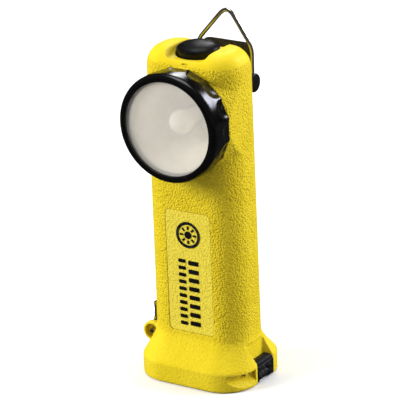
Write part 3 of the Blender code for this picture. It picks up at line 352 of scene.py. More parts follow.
class Finish:
    """A Principled material with helpers for the patterns that drive it."""

    def __init__(self, name):
        self.material = bpy.data.materials.new(name)
        self.material.use_nodes = True
        self.nodes = self.material.node_tree.nodes
        self.links = self.material.node_tree.links
        self.shader = self.nodes["Principled BSDF"]
        self.coordinates = self.nodes.new("ShaderNodeTexCoord").outputs["Object"]

    def feed(self, socket, value):
        """Gives a socket a colour, a number or another node's output."""
        if isinstance(value, tuple):
            socket.default_value = (*value, 1.0)
        elif isinstance(value, (int, float)):
            socket.default_value = value
        else:
            self.links.new(value, socket)

    def set(self, name, value):
        self.feed(self.shader.inputs[name], value)

    def noise(self, size, detail=3.0, stretch=None):
        """Noise with features about size millimetres across."""
        vector = self.coordinates
        if stretch:
            mapping = self.nodes.new("ShaderNodeMapping")
            mapping.inputs["Scale"].default_value = stretch
            self.links.new(vector, mapping.inputs["Vector"])
            vector = mapping.outputs["Vector"]
        node = self.nodes.new("ShaderNodeTexNoise")
        node.inputs["Scale"].default_value = 1 / (size * MM)
        node.inputs["Detail"].default_value = detail
        self.links.new(vector, node.inputs["Vector"])
        return node.outputs["Fac"]

    def pebble(self, size):
        """Rounded pebbles about size millimetres across, on coordinates that wander a little."""
        wander = self.nodes.new("ShaderNodeTexNoise")
        wander.inputs["Scale"].default_value = 0.6 / (size * MM)
        self.links.new(self.coordinates, wander.inputs["Vector"])
        shift = self.nodes.new("ShaderNodeVectorMath")
        shift.operation = "MULTIPLY_ADD"
        shift.inputs[1].default_value = (0.9 * size * MM,) * 3
        self.links.new(wander.outputs["Color"], shift.inputs[0])
        self.links.new(self.coordinates, shift.inputs[2])
        node = self.nodes.new("ShaderNodeTexVoronoi")
        node.feature = "SMOOTH_F1"
        node.inputs["Scale"].default_value = 1 / (size * MM)
        node.inputs["Smoothness"].default_value = 0.6
        self.links.new(shift.outputs[0], node.inputs["Vector"])
        return self.math("SUBTRACT", 1.0, node.outputs["Distance"])

    def rings(self, pitch):
        """Faint rings round the lamp's axis, pitch millimetres apart and a little uneven."""
        mapping = self.nodes.new("ShaderNodeMapping")
        mapping.inputs["Location"].default_value = (0, 0, -HEAD_HEIGHT * MM)
        mapping.inputs["Scale"].default_value = (1, 0, 1)
        self.links.new(self.coordinates, mapping.inputs["Vector"])
        node = self.nodes.new("ShaderNodeTexWave")
        node.wave_type = "RINGS"
        node.rings_direction = "SPHERICAL"
        node.inputs["Scale"].default_value = math.pi / (10 * pitch * MM)
        node.inputs["Distortion"].default_value = 1.5
        self.links.new(mapping.outputs["Vector"], node.inputs["Vector"])
        return node.outputs["Fac"]

    def math(self, operation, a, b):
        node = self.nodes.new("ShaderNodeMath")
        node.operation = operation
        for socket, value in zip(node.inputs, (a, b)):
            self.feed(socket, value)
        return node.outputs[0]

    def times(self, a, b):
        return self.math("MULTIPLY", a, b)

    def spread(self, value, low, high, to_low=0.0, to_high=1.0):
        """The value's range from low to high, stretched smoothly to run from to_low to to_high."""
        node = self.nodes.new("ShaderNodeMapRange")
        node.interpolation_type = "SMOOTHSTEP"
        for key, number in (("From Min", low), ("From Max", high), ("To Min", to_low), ("To Max", to_high)):
            node.inputs[key].default_value = number
        self.links.new(value, node.inputs["Value"])
        return node.outputs["Result"]

    def axis(self, name):
        """The place along one axis, in metres."""
        node = self.nodes.new("ShaderNodeSeparateXYZ")
        self.links.new(self.coordinates, node.inputs[0])
        return node.outputs[name]

    def mix(self, share, a, b):
        """Colour a where share is 0 and colour b where it is 1."""
        node = self.nodes.new("ShaderNodeMix")
        node.data_type = "RGBA"
        for key, value in (("A", a), ("B", b), ("Factor", share)):
            self.feed(node.inputs[key], value)
        return next(output for output in node.outputs if output.type == "RGBA")

    def pointiness(self):
        """Above 0.5 on edges that stand out, and below it in creases."""
        return self.nodes.new("ShaderNodeNewGeometry").outputs["Pointiness"]

    def bump(self, height, depth, strength=1.0, under=None):
        """Normals of a relief depth millimetres deep, on top of those of another if one is given."""
        node = self.nodes.new("ShaderNodeBump")
        node.inputs["Distance"].default_value = depth * MM
        self.feed(node.inputs["Strength"], strength)
        self.links.new(height, node.inputs["Height"])
        if under is not None:
            self.links.new(under, node.inputs["Normal"])
        return node.outputs["Normal"]


def yellow_nylon(name, depth):
    """Lemon-yellow moulded nylon: pebbled on the grip, less on the foot and hardly at all on the crown, with
    painted shade in creases and in the pits between the pebbles.
    """
    f = Finish(name)
    base = f.mix(f.spread(f.noise(14, 4), 0.35, 0.65), (0.82, 0.625, 0.016), (0.86, 0.665, 0.022))
    rubbed_edge = f.spread(f.pointiness(), 0.51, 0.56)
    base = f.mix(f.times(rubbed_edge, 0.4), base, (0.93, 0.82, 0.14))
    # painted shade: the colour darkens in creases, where shade falls
    crease_shade = f.spread(f.pointiness(), 0.49, 0.44)
    base = f.mix(f.times(crease_shade, 0.5), base, (0.48, 0.33, 0.006))
    height = f.axis("Z")
    crown = f.spread(height, 0.1732, 0.1742, 1.0, 0.12)
    foot = f.spread(height, 0.020, 0.034, 0.4, 1.0)
    shown = f.times(crown, foot)
    pebbles = f.pebble(0.95)
    # painted shade: the pits between the pebbles are coloured darker, where shade falls in them
    pit_shade = f.spread(pebbles, 0.60, 0.30)
    base = f.mix(f.times(f.times(pit_shade, shown), 0.3), base, (0.44, 0.31, 0.006))
    f.set("Base Color", base)
    f.set("Normal", f.bump(f.noise(0.28, 2), 0.02, 0.6, f.bump(pebbles, depth, shown)))
    f.set("Roughness", f.spread(f.noise(3, 3), 0.3, 0.7, 0.40, 0.52))
    f.set("Specular IOR Level", 0.22)
    return f.material


def black_plastic(name, roughness, grain, depth, tone, shine):
    """Black nylon or rubber with a faint haze, a fine grain and edges rubbed greyer."""
    f = Finish(name)
    haze = f.spread(f.noise(9, 4), 0.4, 0.7)
    base = f.mix(haze, (tone, tone, tone), (tone * 1.9, tone * 1.9, tone * 2.1))
    worn = f.times(f.spread(f.pointiness(), 0.53, 0.60), f.spread(f.noise(1.5, 3), 0.45, 0.6))
    f.set("Base Color", f.mix(f.times(worn, 0.35), base, (0.07, 0.07, 0.08)))
    f.set("Roughness", f.spread(f.noise(4, 5), 0.3, 0.7, roughness * 0.85, roughness * 1.25))
    f.set("Normal", f.bump(f.noise(grain, 3), depth))
    f.set("Specular IOR Level", shine)
    return f.material


def drawn_metal(name, roughness, tint, stretch):
    """Bare metal with the fine lines that drawing or turning leaves."""
    f = Finish(name)
    lines = f.noise(1.6, 5, stretch)
    f.set("Base Color", f.mix(f.spread(lines, 0.3, 0.7), tuple(c * 0.72 for c in tint), tint))
    f.set("Metallic", 1.0)
    f.set("Roughness", f.spread(f.noise(2.5, 4), 0.3, 0.7, roughness * 0.7, roughness * 1.5))
    f.set("Normal", f.bump(lines, 0.01, 0.5))
    return f.material


def reflector_finish():
    """The pale inside of the bowl, a mirror drawn nearly matt in cream as a painted reflection, faintly
    ringed with painted reflection rings, and darker down in its throat with painted shade.
    """
    f = Finish("metallised_reflector")
    mottle = f.noise(2.2, 3)
    # painted reflection: the mirror's reflections are drawn as a cream colour
    haze = f.mix(f.spread(mottle, 0.35, 0.65), (0.97, 0.88, 0.73), (1.0, 0.95, 0.81))
    # painted reflection rings: faint darker rings round the lamp's axis
    metal = f.mix(f.times(f.rings(8.5), 0.28), haze, (0.74, 0.66, 0.54))
    # painted shade: darker towards the throat, deep in the bowl
    throat = f.spread(f.axis("Y"), -0.021, -0.008)
    f.set("Base Color", f.mix(f.times(throat, 0.5), metal, (0.46, 0.40, 0.31)))
    f.set("Metallic", 0.05)
    f.set("Roughness", f.spread(f.noise(5, 4), 0.3, 0.7, 0.34, 0.46))
    f.set("Normal", f.bump(mottle, 0.05, 0.35))
    return f.material


def lens_finish():
    """Polycarbonate, hazed a little by light scratches."""
    f = Finish("polycarbonate_lens")
    f.set("Base Color", f.mix(f.spread(f.noise(8, 3), 0.3, 0.7), (0.93, 0.89, 0.81), (0.98, 0.95, 0.88)))
    f.set("Roughness", f.spread(f.noise(1.2, 4), 0.45, 0.75, 0.03, 0.12))
    f.set("Alpha", 0.33)
    f.set("Normal", f.bump(f.noise(6, 2), 0.01, 0.3))
    return f.material


def mottled(name, light, dark, roughness, grain, depth):
    """Two shades of one colour over a grain of the given size and depth in millimetres."""
    f = Finish(name)
    f.set("Base Color", f.mix(f.spread(f.noise(grain * 5, 4), 0.35, 0.65), dark, light))
    f.set("Metallic", 0.0)
    f.set("Roughness", f.spread(f.noise(grain * 2, 4), 0.3, 0.7, roughness * 0.8, roughness * 1.2))
    f.set("Normal", f.bump(f.noise(grain, 3), depth))
    return f.material


# the record's material slots, and three more looks for pieces that share a slot
LOOK = {
    "yellow_nylon": yellow_nylon("pebbled_yellow_nylon", 0.75),
    "panel": yellow_nylon("fine_yellow_nylon", 0.4),
    "black_nylon": black_plastic("satin_black_nylon", 0.32, grain=0.5, depth=0.015, tone=0.004, shine=0.4),
    "matt": black_plastic("matt_black_nylon", 0.5, grain=0.5, depth=0.02, tone=0.004, shine=0.22),
    "cap": black_plastic("polished_black_nylon", 0.19, grain=2.0, depth=0.006, tone=0.001, shine=0.55),
    "black_rubber": black_plastic("black_rubber", 0.34, grain=0.5, depth=0.03, tone=0.003, shine=0.2),
    "clear_lens": lens_finish(),
    "mirror_reflector": reflector_finish(),
    "spring_steel": drawn_metal("bright_spring_steel", 0.13, (0.66, 0.64, 0.60), (1, 1, 14)),
    "aluminium": drawn_metal("turned_aluminium", 0.35, (0.76, 0.76, 0.77), (1, 12, 1)),
    "contact_brass": drawn_metal("contact_brass", 0.25, (0.83, 0.64, 0.30), (1, 1, 14)),
    "circuit_board": mottled("green_board", (0.03, 0.22, 0.08), (0.02, 0.13, 0.05), 0.4, 0.8, 0.03),
    "led_phosphor": mottled("led_phosphor", (0.98, 0.93, 0.82), (0.93, 0.87, 0.74), 0.3, 0.4, 0.01),
    "cell_sleeve": mottled("cell_sleeve", (0.06, 0.17, 0.50), (0.03, 0.10, 0.34), 0.3, 1.0, 0.02),
    "red_lead": mottled("red_lead", (0.62, 0.03, 0.02), (0.42, 0.015, 0.01), 0.45, 0.5, 0.02),
    "black_lead": mottled("black_lead", (0.03, 0.03, 0.032), (0.015, 0.015, 0.016), 0.45, 0.5, 0.02),
    "grey_foam": mottled("grey_foam", (0.24, 0.24, 0.24), (0.13, 0.13, 0.13), 0.9, 0.3, 0.15),
}


def paint_frame():
    """The frame's own nodes that stay in view take the finishes too."""
    for entry in frame["record"]["subparts"]:
        obj = NODES[entry["node"]]
        obj.data.materials.clear()
        obj.data.materials.append(LOOK[entry["material_slot"]])


# ---- body shell


def foot_sections():
    """A small round at the underside, then the upright band."""
    edge, rows = 1.0, 4
    sections = []
    for row in range(rows + 1):
        angle = row / rows * math.pi / 2
        inset = edge * (1 - math.sin(angle))
        size = (FOOT_WIDTH - 2 * inset, FOOT_DEPTH - 2 * inset, FOOT_RADIUS - inset)
        sections.append((edge * (1 - math.cos(angle)), *size))
    sections.append((FOOT_BAND, FOOT_WIDTH, FOOT_DEPTH, FOOT_RADIUS))
    return sections


def flare_sections():
    """A concave flare from a ledge over the band up to the grip, whose foot is wider by the draft."""
    low, high, rows = FOOT_BAND + 1.2, FLARE_TOP + 1.5, 14
    draft, ledge, hollowness = 1.2, 0.93, 1.4
    sections = []
    for row in range(rows + 1):
        t = row / rows
        share = ledge * (1 - t) ** hollowness
        width = GRIP_WIDTH + draft + (FOOT_WIDTH - GRIP_WIDTH - draft) * share
        depth = GRIP_DEPTH + draft + (FOOT_DEPTH - GRIP_DEPTH - draft) * share
        radius = GRIP_RADIUS + draft / 2 + (FOOT_RADIUS - GRIP_RADIUS) * share
        sections.append((low + (high - low) * t, width, depth, radius))
    return sections


def crown_sections():
    """An elliptical round over the top."""
    rise, inward, rows = 11, 9, 12
    sections = []
    for row in range(rows + 1):
        angle = row / rows * math.pi / 2
        inset = inward * (1 - math.cos(angle))
        size = (GRIP_WIDTH - 2 * inset, GRIP_DEPTH - 2 * inset, GRIP_RADIUS - inset)
        sections.append((BODY_HEIGHT - rise + rise * math.sin(angle), *size))
    return sections


def lamp_collar():
    """The cone behind the face cap, cut off flush with the grip's sides."""
    collar = turned("collar", [(0, 16.9), (27.0, 16.9), (27.7, 16.4), (36, 0), (0, 0)], 96, HEAD)
    trim(collar, cuboid("cheeks", (GRIP_WIDTH - 0.1, 60, 60), place(z=HEAD_HEIGHT)))
    return collar


def outer_cutters():
    """The button's valley in the crown and the pockets in the foot's two sides."""
    end = (VALLEY_WIDTH, 20.0, 4.6)
    valley = [(-GRIP_DEPTH, *end), (GRIP_DEPTH, *end)]
    latch_width, latch_top, latch_depth = 12.6, FLARE_TOP + 13.6, 0.9
    latch_middle = latch_depth - GRIP_WIDTH / 2 - 6
    return [
        loft("valley", valley, 8, place(z=VALLEY_FLOOR + 10, rx=90)),
        hinge_pocket(),
        cuboid("latch_pocket", (12, latch_width, latch_top + 1), place(latch_middle, 0, (latch_top - 1) / 2)),
    ]


def hinge_pocket():
    """The right pocket: its front wall slants back as it runs outwards, and its rear wall flares a little."""
    floor, outside, top = GRIP_WIDTH / 2 - 0.2, FOOT_WIDTH / 2 + 6, 21.8
    front_inner, front_outer, rear_inner, rear_outer = -9.2, -2.1, 8.2, 11.4
    outline = [(floor, front_inner), (outside, front_outer), (outside, rear_outer), (floor, rear_inner)]
    return prism("hinge_pocket", outline, 2 * top)


def inner_cutters():
    """The bay and recess, the lamp's room, the button's well, the seal's groove and the ways between."""
    bay, bay_top = (GRIP_WIDTH - 2 * WALL, BAY_DEPTH, 11), 119
    recess, recess_top = (57, 41, 8), 5
    panel, panel_depth = (27.6, 68, 2.5), 0.7
    panel_axes = place(0, -GRIP_DEPTH / 2 - 0.55, LABEL_MIDDLE, rx=-90)
    side = GRIP_WIDTH / 2
    return [
        loft("bay", [(-1, *bay), (bay_top, *bay)], 10),
        loft("recess", [(-1, *recess), (recess_top, *recess)], 8),
        turned("room", [(0, 40), (24.6, 40), (24.6, -1), (17.5, -12.5), (0, -12.5)], 72, HEAD),
        turned("well", [(0, 182), (11.8, 182), (11.8, 172.9), (13.2, 172.9), (13.2, 164.4), (0, 164.4)], 72),
        turned("groove", [(27.4, 23.6), (27.4, 22), (25.7, 22), (25.7, 23.6)], 72, HEAD, closed=True),
        loft("panel", [(-1, *panel), (panel_depth, *panel)], 6, panel_axes),
        cuboid("wire_way", (15, 8, 14), place(0, 8.6, 124)),
        cuboid("hinge_way", (6, 18, 6), place(side - 0.6, 0, 2)),
        cuboid("latch_way", (6, 12.6, 6), place(0.6 - side, 0, 2)),
    ]


def ear_cutters():
    """Room for the latch's barrel and spring, the pin's hole and a dish in each ear's end."""
    dish = 8.9
    return [
        cylinder("barrel_room", 2.8, 12.6, LATCH @ place(rx=90)),
        cuboid("spring_room", (5.2, 5.6, 10.8), LATCH @ place(z=2.6)),
        cylinder("pin_hole", LATCH_PIN_RADIUS + 0.05, 30, LATCH @ place(rx=90), 32),
        cylinder("ear_dish_front", 4.2, 4, LATCH @ place(y=-dish, rx=90), 40),
        cylinder("ear_dish_back", 4.2, 4, LATCH @ place(y=dish, rx=90), 40),
    ]


def slot_axes(side):
    """Axes at a front corner's centre, with X out through the middle of its charging pocket."""
    turn = -20 if side > 0 else 200
    return place(side * (FOOT_WIDTH / 2 - FOOT_RADIUS), FOOT_RADIUS - FOOT_DEPTH / 2, 0, rz=turn)


def charging_pockets():
    """A slot at each front corner with an upright floor, and under it a ramp that runs out to the skin."""
    cutters = []
    floor, top, foot, outside = 14.8, 9.5, 6.0, 26.0
    ramp = 1.2  # how far the ramp falls for each millimetre outwards
    outline = [(floor, top), (outside, top), (outside, foot - ramp * (outside - floor)), (floor, foot)]
    for side, width, shift, hole in ((1, 17.8, -2.1, 4.2), (-1, 11.8, -1.9, -1.6)):
        axes = slot_axes(side)
        cutters.append(prism(f"pocket_{side}", outline, width, axes @ place(y=shift) @ place(rx=90)))
        cutters.append(cylinder(f"contact_way_{side}", 1.15, 18, axes @ place(8, hole, 7.7, ry=90), 24))
    return cutters


def make_shell():
    """One moulding: foot, grip, crown, lamp collar and neck, and the latch's two ears."""
    shell = loft("flashlight_shell", foot_sections() + flare_sections() + crown_sections(), 14)
    join(shell, lamp_collar(), cylinder("ears", 5.5, EAR_SPAN, LATCH @ place(rx=90)))
    cut(shell, *outer_cutters())
    soften(shell, 0.45, 4)
    neck_foot = 13.5
    neck = [(0, NECK_FRONT), (NECK_RADIUS - 0.5, NECK_FRONT), (NECK_RADIUS, NECK_FRONT - 0.5)]
    neck += [(NECK_RADIUS, neck_foot), (0, neck_foot)]
    join(shell, turned("neck", neck, 96, HEAD))
    lip_mark = cuboid("lip_mark", (3.2, 4, 0.8), place(1.2, -GRIP_DEPTH / 2, 174.6))
    cut(shell, *inner_cutters(), *ear_cutters(), lip_mark, *charging_pockets())
    shade(shell, 40)
    piece(shell, "yellow_nylon", "light", "yellow_nylon", "body_shell")


# ---- label


def on_label(height, lift=0.0, across=0.0):
    """Axes on the label's face, with Z out of it."""
    return place(across, LABEL_FACE - lift, height, rx=90)


def make_label_panel():
    full, eased = (27.0, 67.4, 2.2), (26.8, 67.2, 2.1)
    sections = [(0, *full), (0.22, *full), (0.3, *eased)]
    plate = loft("label_panel", sections, 6, place(0, LABEL_FACE, LABEL_MIDDLE, rx=-90))
    piece(plate, "panel", "light", "yellow_nylon", "label_plate")


def make_lamp_mark():
    """A plain sign for a lamp: a ring, a spot in its middle and eight rays."""
    outer, inner, spot, rays = 7.3, 5.7, 2.1, 8
    edge = 0.1
    profile = [(outer - edge, MARK_THICKNESS), (outer, 0), (inner, 0), (inner + edge, MARK_THICKNESS)]
    ring = turned("mark_ring", profile, 64, on_label(MARK_HEIGHT), closed=True)
    piece(ring, "black_nylon", "light", "black_nylon")
    profile = [(0, 0.4), (spot - 0.2, 0.4), (spot, 0.3), (spot, 0), (0, 0)]
    core = turned("mark_core", profile, 40, on_label(MARK_HEIGHT))
    piece(core, "black_nylon", "light", "black_nylon")
    wedge = [(2.9, -0.45), (4.9, -0.6), (4.9, 0.6), (2.9, 0.45)]
    for ray in range(rays):
        axes = on_label(MARK_HEIGHT, MARK_LIFT) @ place(rz=ray * 360 / rays)
        bar = prism(f"mark_ray_{ray + 1}", wedge, MARK_THICKNESS, axes, bevel=0.08)
        piece(bar, "black_nylon", "light", "black_nylon")


def make_bar_columns():
    """Two columns of plain raised bars, which spell nothing."""
    bottom, tall = 30.0, 39.0
    for column, (across, count, long) in enumerate(((-4.4, 10, 4.4), (2.6, 8, 6.2))):
        pitch = tall / count
        outline = rounded_outline(long, pitch / 2, 0.5, 4)
        for row in range(count):
            axes = on_label(bottom + (row + 0.5) * pitch, MARK_LIFT, across)
            bar = prism(f"bar_{column + 1}_{row + 1}", outline, MARK_THICKNESS, axes, bevel=0.08)
            piece(bar, "black_nylon", "light", "black_nylon")


# ---- lamp head


def hollow(height, angle):
    """Depth of the finger hollows: shallow flat pads that run forwards from the cap's rear rim."""
    pitch = 2 * math.pi / CAP_HOLLOWS
    across = abs(((angle / pitch + 0.5) % 1) * 2 - 1) / HOLLOW_WIDTH
    along = max((height - CAP_REAR) / HOLLOW_REACH, 0)
    left = 1 - across**HOLLOW_SQUARENESS - along**HOLLOW_SQUARENESS
    return HOLLOW_DEPTH * min(1.0, HOLLOW_SLOPE * left) if left > 0 else 0.0


def make_cap():
    """The screwed ring that holds the lens: a rounded front lip and a straight band with the hollows."""
    lip, band_top, band_foot, band_rows = 25.0, 27.2, 18.0, 12
    section = [(lip, 32.3), (25.1, 32.7), (25.5, 32.95), (26.3, CAP_FRONT), (27.3, 32.95), (28.0, 32.7)]
    section += [(28.4, 32.2), (28.75, 31.7), (29.0, 31.0)]
    section += [(CAP_RADIUS, 30.2), (CAP_RADIUS, 29.0), (CAP_RADIUS, 28.0)]
    for row in range(band_rows + 1):
        section.append((CAP_RADIUS, band_top - (band_top - band_foot) * row / band_rows))
    section += [(CAP_RADIUS - 0.2, CAP_REAR + 0.2), (CAP_RADIUS - 0.6, CAP_REAR)]
    section += [(CAP_BORE, CAP_REAR), (CAP_BORE, LENS_FRONT + 0.3), (lip, LENS_FRONT + 0.3)]
    steps = CAP_HOLLOWS * 14
    rings = []
    for radius, height in section:
        ring = []
        for i in range(steps):
            angle = 2 * math.pi * i / steps
            r = radius - hollow(height, angle) if radius > CAP_BORE else radius
            ring.append((r * math.cos(angle), r * math.sin(angle), height))
        rings.append(ring)
    bm = bmesh.new()
    skin(bm, rings, loop=True)
    piece(to_object("lamp_face_cap", bm, HEAD, sharp=50), "cap", "face_cap_unit", "black_nylon", "face_cap")


def make_lens():
    flat, rows = 25.6, 11  # the rows keep the flat face's shading flat up to its edge
    profile = [(flat * row / rows, LENS_FRONT) for row in range(rows + 1)]
    profile += [(LENS_RADIUS - 0.3, LENS_FRONT - 0.1), (LENS_RADIUS, LENS_FRONT - 0.4)]
    profile += [(LENS_RADIUS, LENS_BACK + 0.2), (LENS_RADIUS - 0.2, LENS_BACK), (0, LENS_BACK)]
    piece(turned("lamp_lens", profile, 96, HEAD), "clear_lens", "lens_unit", "clear_lens", "lens")


def bowl_radius(height):
    return math.sqrt(4 * REFLECTOR_FOCUS * (height - REFLECTOR_VERTEX))


def make_reflector():
    """A deep bowl with faint rings moulded into it, open at the throat, and a flange at its rim."""
    rim, throat, mouth, flange, wall = 28.5, 5.6, 24.2, 26.1, 1.0
    inner_rows, outer_rows, ripple = 40, 12, 0.10
    inner = []
    for row in range(inner_rows + 1):
        height = throat + (rim - throat) * (row / inner_rows) ** 1.4
        inner.append((min(bowl_radius(height), mouth) + ripple * math.sin(row * 0.9), height))
    outer = [(flange, rim + 0.1), (flange, rim - 0.7), (mouth + 0.2, rim - 0.75), (mouth + 0.2, rim - 3)]
    for row in range(2, outer_rows + 1):
        height = rim - (rim - throat) * row / outer_rows
        outer.append((min(bowl_radius(height) + wall, mouth + 0.2), height))
    reflector = turned("lamp_reflector", outer + inner, 96, HEAD, closed=True, sharp=60)
    piece(reflector, "mirror_reflector", "light", "mirror_reflector", "reflector")


def make_light_source():
    """A round-headed source on a stem that widens a little as it rises from the throat."""
    head, rise, shoulder, rows = 6.4, 7.0, 18.0, 10
    angles = [row / rows * math.pi / 2 for row in range(rows + 1)]
    profile = [(head * math.sin(a), shoulder + rise * math.cos(a)) for a in angles]
    profile += [(6.1, 16.6), (5.4, 14.6), (4.6, 11.0), (4.4, 5.4), (3.2, 5.2), (3.2, 4.5), (0, 4.5)]
    piece(turned("led_lens", profile, 48, HEAD), "led_phosphor", "light", "led_phosphor", "led_dome")


# ---- push button


def make_button():
    """Domed rubber boot with a step at the dome's edge, a skirt and a flange, hollow from below."""
    foot, top, flange = side_of("switch_boot", LOW, Z), side_of("switch_boot", HIGH, Z), 12.9
    dome = [(0, top), (1.5, 182.38), (3.5, 182.25), (5.6, 181.95), (7.6, 181.5), (9.2, 180.95), (10.3, 180.3)]
    edge = [(11.0, 179.7), (11.3, 179.1), (11.25, 178.7), (10.9, 178.5), (10.75, 178.2)]
    skirt = [(10.8, 176.0), (11.0, foot + 1), (flange - 0.2, foot + 1), (flange, foot + 0.8), (flange, foot)]
    inside = [(9.3, foot), (9.3, foot + 6.2), (0, top - 2)]
    boot = turned("push_button_boot", dome + edge + skirt + inside, 72)
    shade(boot, 50)
    piece(boot, "black_rubber", "button", "black_rubber", "switch_boot")


def make_button_spring():
    """The return spring under the button."""
    foot, top, seat = 171.7, 176.8, 171.3
    spring = tube("button_return_spring", coil(2.9, foot, top, 3.4), 0.4, 10)
    piece(spring, "spring_steel", "light", "spring_steel", "switch_spring")
    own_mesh(spring)


# ---- bracket, clip and ring


def make_bracket():
    """A plate on the body's back with an ear for the pin at each side."""
    thick, foot, top = 2.0, PIN_HEIGHT - 15, PIN_HEIGHT + 8
    middle = GRIP_DEPTH / 2 + 0.5 + thick / 2
    outline = rounded_outline(32.4, top - foot, 2.2, 6)
    bracket = prism("back_bracket", outline, thick, place(0, middle, (foot + top) / 2, rx=90), bevel=0.5)
    ear_radius, ear_root, ear_place = 5.3, 5.6, 15.2
    angles = [math.radians(-80 + 160 * k / 16) for k in range(17)]
    ear = [(ear_radius * math.cos(a), ear_radius * math.sin(a)) for a in angles]
    ear += [(-4.6, ear_root), (-4.6, -ear_root)]
    for side in (-1, 1):
        axes = place(side * ear_place, PIN_BACK, PIN_HEIGHT, ry=90) @ place(rz=90)
        join(bracket, prism(f"ear_{side}", ear, thick, axes, bevel=0.4))
    cut(bracket, cylinder("ear_bore", PIN_RADIUS + PIN_SLACK, 60, CLIP @ place(ry=90), 40))
    shade(bracket)
    piece(bracket, "black_nylon", "light", "black_nylon", "clip_bracket")


def make_bracket_screws():
    """Domed heads with a crossed recess."""
    head = [(0, 1.4), (0.9, 1.33), (1.6, 1.15), (2.1, 0.8), (2.35, 0.4), (2.4, 0.0), (0, 0)]
    slot_long, slot_wide, slot_deep = 3.2, 0.6, 1.2
    for side, word in ((-1, "left"), (1, "right")):
        axes = place(side * 12.6, GRIP_DEPTH / 2 + 2.7, PIN_HEIGHT - 11, rx=-90)
        screw = turned(f"bracket_screw_head_{word}", head, 40, axes)
        cut(screw, cuboid("cross_a", (slot_long, slot_wide, slot_deep), axes @ place(z=1.4)))
        cut(screw, cuboid("cross_b", (slot_wide, slot_long, slot_deep), axes @ place(z=1.4)))
        shade(screw)
        piece(screw, "spring_steel", "light", "spring_steel", f"bracket_screw_{word}")


# half the lever's width, and the tab above it
CLIP_HALF, TAB_RISE, TAB_OFFSET, TAB_THICKNESS = 13.8, 19.6, 1.6, 2.2
TAB_LEAN = math.degrees(math.atan2(4.4, TAB_RISE))
TAB_AXES = CLIP @ place(y=TAB_OFFSET) @ place(rx=90 - TAB_LEAN)  # X across, Y up the tab


def thumb_tab():
    """The tab above the pin: a neck, a small step out at each side and two round upper corners."""
    neck, neck_top, wide, corner = CLIP_HALF - 0.2, 6.1, 14.9, 4.5
    right = [(neck, 0.0), (neck, neck_top - 0.8), (neck + 0.4, neck_top)]
    right += [(wide - 0.4, neck_top + 0.8), (wide, neck_top + 1.6)]
    for step in range(11):
        angle = step / 10 * math.pi / 2
        right.append((wide - corner + corner * math.cos(angle), TAB_RISE - corner + corner * math.sin(angle)))
    return prism("tab", right + mirrored(right), TAB_THICKNESS, TAB_AXES, bevel=0.6)


def clip_jaw():
    """The long jaw below the pin, drawn from the side: (back, up) down its back and up its front."""
    back = [(2.4, 2.6), (4.0, 1.2), (4.2, -1.5), (3.9, -5), (3.5, -10), (2.4, -24)]
    back += [(1.5, -34), (0.8, -43), (0.9, -48), (1.5, -53), (1.4, -57)]
    front = [(0.6, -58), (-0.6, -58), (-1.6, -57), (-4.3, -53.4), (-4.6, -52), (-4.3, -50), (-2.4, -45)]
    front += [(-1.2, -39), (-0.5, -33), (0.6, -22), (1.3, -10), (1.2, -4), (0.2, -1.5)]
    return prism("jaw", back + front, 17, CLIP @ place(rz=90) @ place(rx=90), bevel=0.7)


def make_clip_lever():
    """Barrel, thumb tab and jaw in one, with thumb grooves across the tab and a window for the spring."""
    lever = cylinder("clip_thumb_lever", 3.0, 2 * CLIP_HALF, CLIP @ place(ry=90))
    join(lever, thumb_tab(), clip_jaw())
    grooves, first, pitch, groove_depth = 5, 9, 2, -1.45
    for step in range(grooves):
        axes = TAB_AXES @ place(y=first + pitch * step, z=groove_depth) @ place(ry=90)
        cut(lever, cylinder(f"groove_{step}", 0.7, 20, axes, 16))
    bore = cylinder("clip_bore", PIN_RADIUS + PIN_SLACK, 60, CLIP @ place(ry=90), 40)
    cut(lever, bore, cuboid("clip_window", (10, 11, 6.6), CLIP @ place(y=-2.5)))
    shade(lever)
    piece(lever, "black_nylon", "clip", "black_nylon", "clip_lever")


def make_pin_end_caps():
    """A shallow round cap over each end of the clip's pin."""
    outside, edge = side_of("pin_cap_right", HIGH, X), 5.0
    foot = -1.2
    profile = [(0, 0.0), (2.6, 0.0), (3.0, -0.12), (4.3, -0.16), (edge - 0.2, -0.4), (edge, -0.8)]
    profile += [(edge, foot), (PIN_RADIUS + 0.1, foot), (PIN_RADIUS + 0.1, -0.25), (0, -0.25)]
    for side, word in ((-1, "left"), (1, "right")):
        axes = place(side * outside, PIN_BACK, PIN_HEIGHT, ry=90 * side)
        cap = turned(f"pin_end_cap_{word}", profile, 56, axes)
        piece(cap, "black_nylon", "light", "black_nylon", f"pin_cap_{word}")


def make_clip_spring():
    turns = [(z, x, y) for x, y, z in coil(2.3, -3.6, 3.6, 4.2)]
    spring = tube("clip_torsion_spring", turns, 0.45, 10, CLIP)
    piece(spring, "spring_steel", "light", "spring_steel", "clip_spring")


def make_ring():
    """The wire loop, with an eye rolled round the pin at each end."""
    leg, shoulder, top, wire, lean, inward = 17.6, 18.3, 38.4, 1.1, 10, 1.4
    eye = PIN_RADIUS + wire + 0.15
    left = []
    for step in range(25):
        angle = math.radians(60 + 270 * step / 24)
        left.append((-leg, eye * math.sin(angle), eye * math.cos(angle)))
    left.append((-leg, 0, eye + 2.4))
    right = [(-x, y, z) for x, y, z in reversed(left)]
    corners = [(-leg, 0, eye + 4), (inward - leg, 0, shoulder), (0, 0, top)]
    corners += [(leg - inward, 0, shoulder), (leg, 0, eye + 4)]
    path = left + smooth_path(corners, (4, 7, 4), 10)[1:-1] + right
    ring = tube("wire_hanging_ring", path, wire, 16, CLIP @ place(rx=-lean))
    piece(ring, "spring_steel", "ring", "spring_steel", "hanging_ring")


# ---- foot: hinge block, tail cap, latch


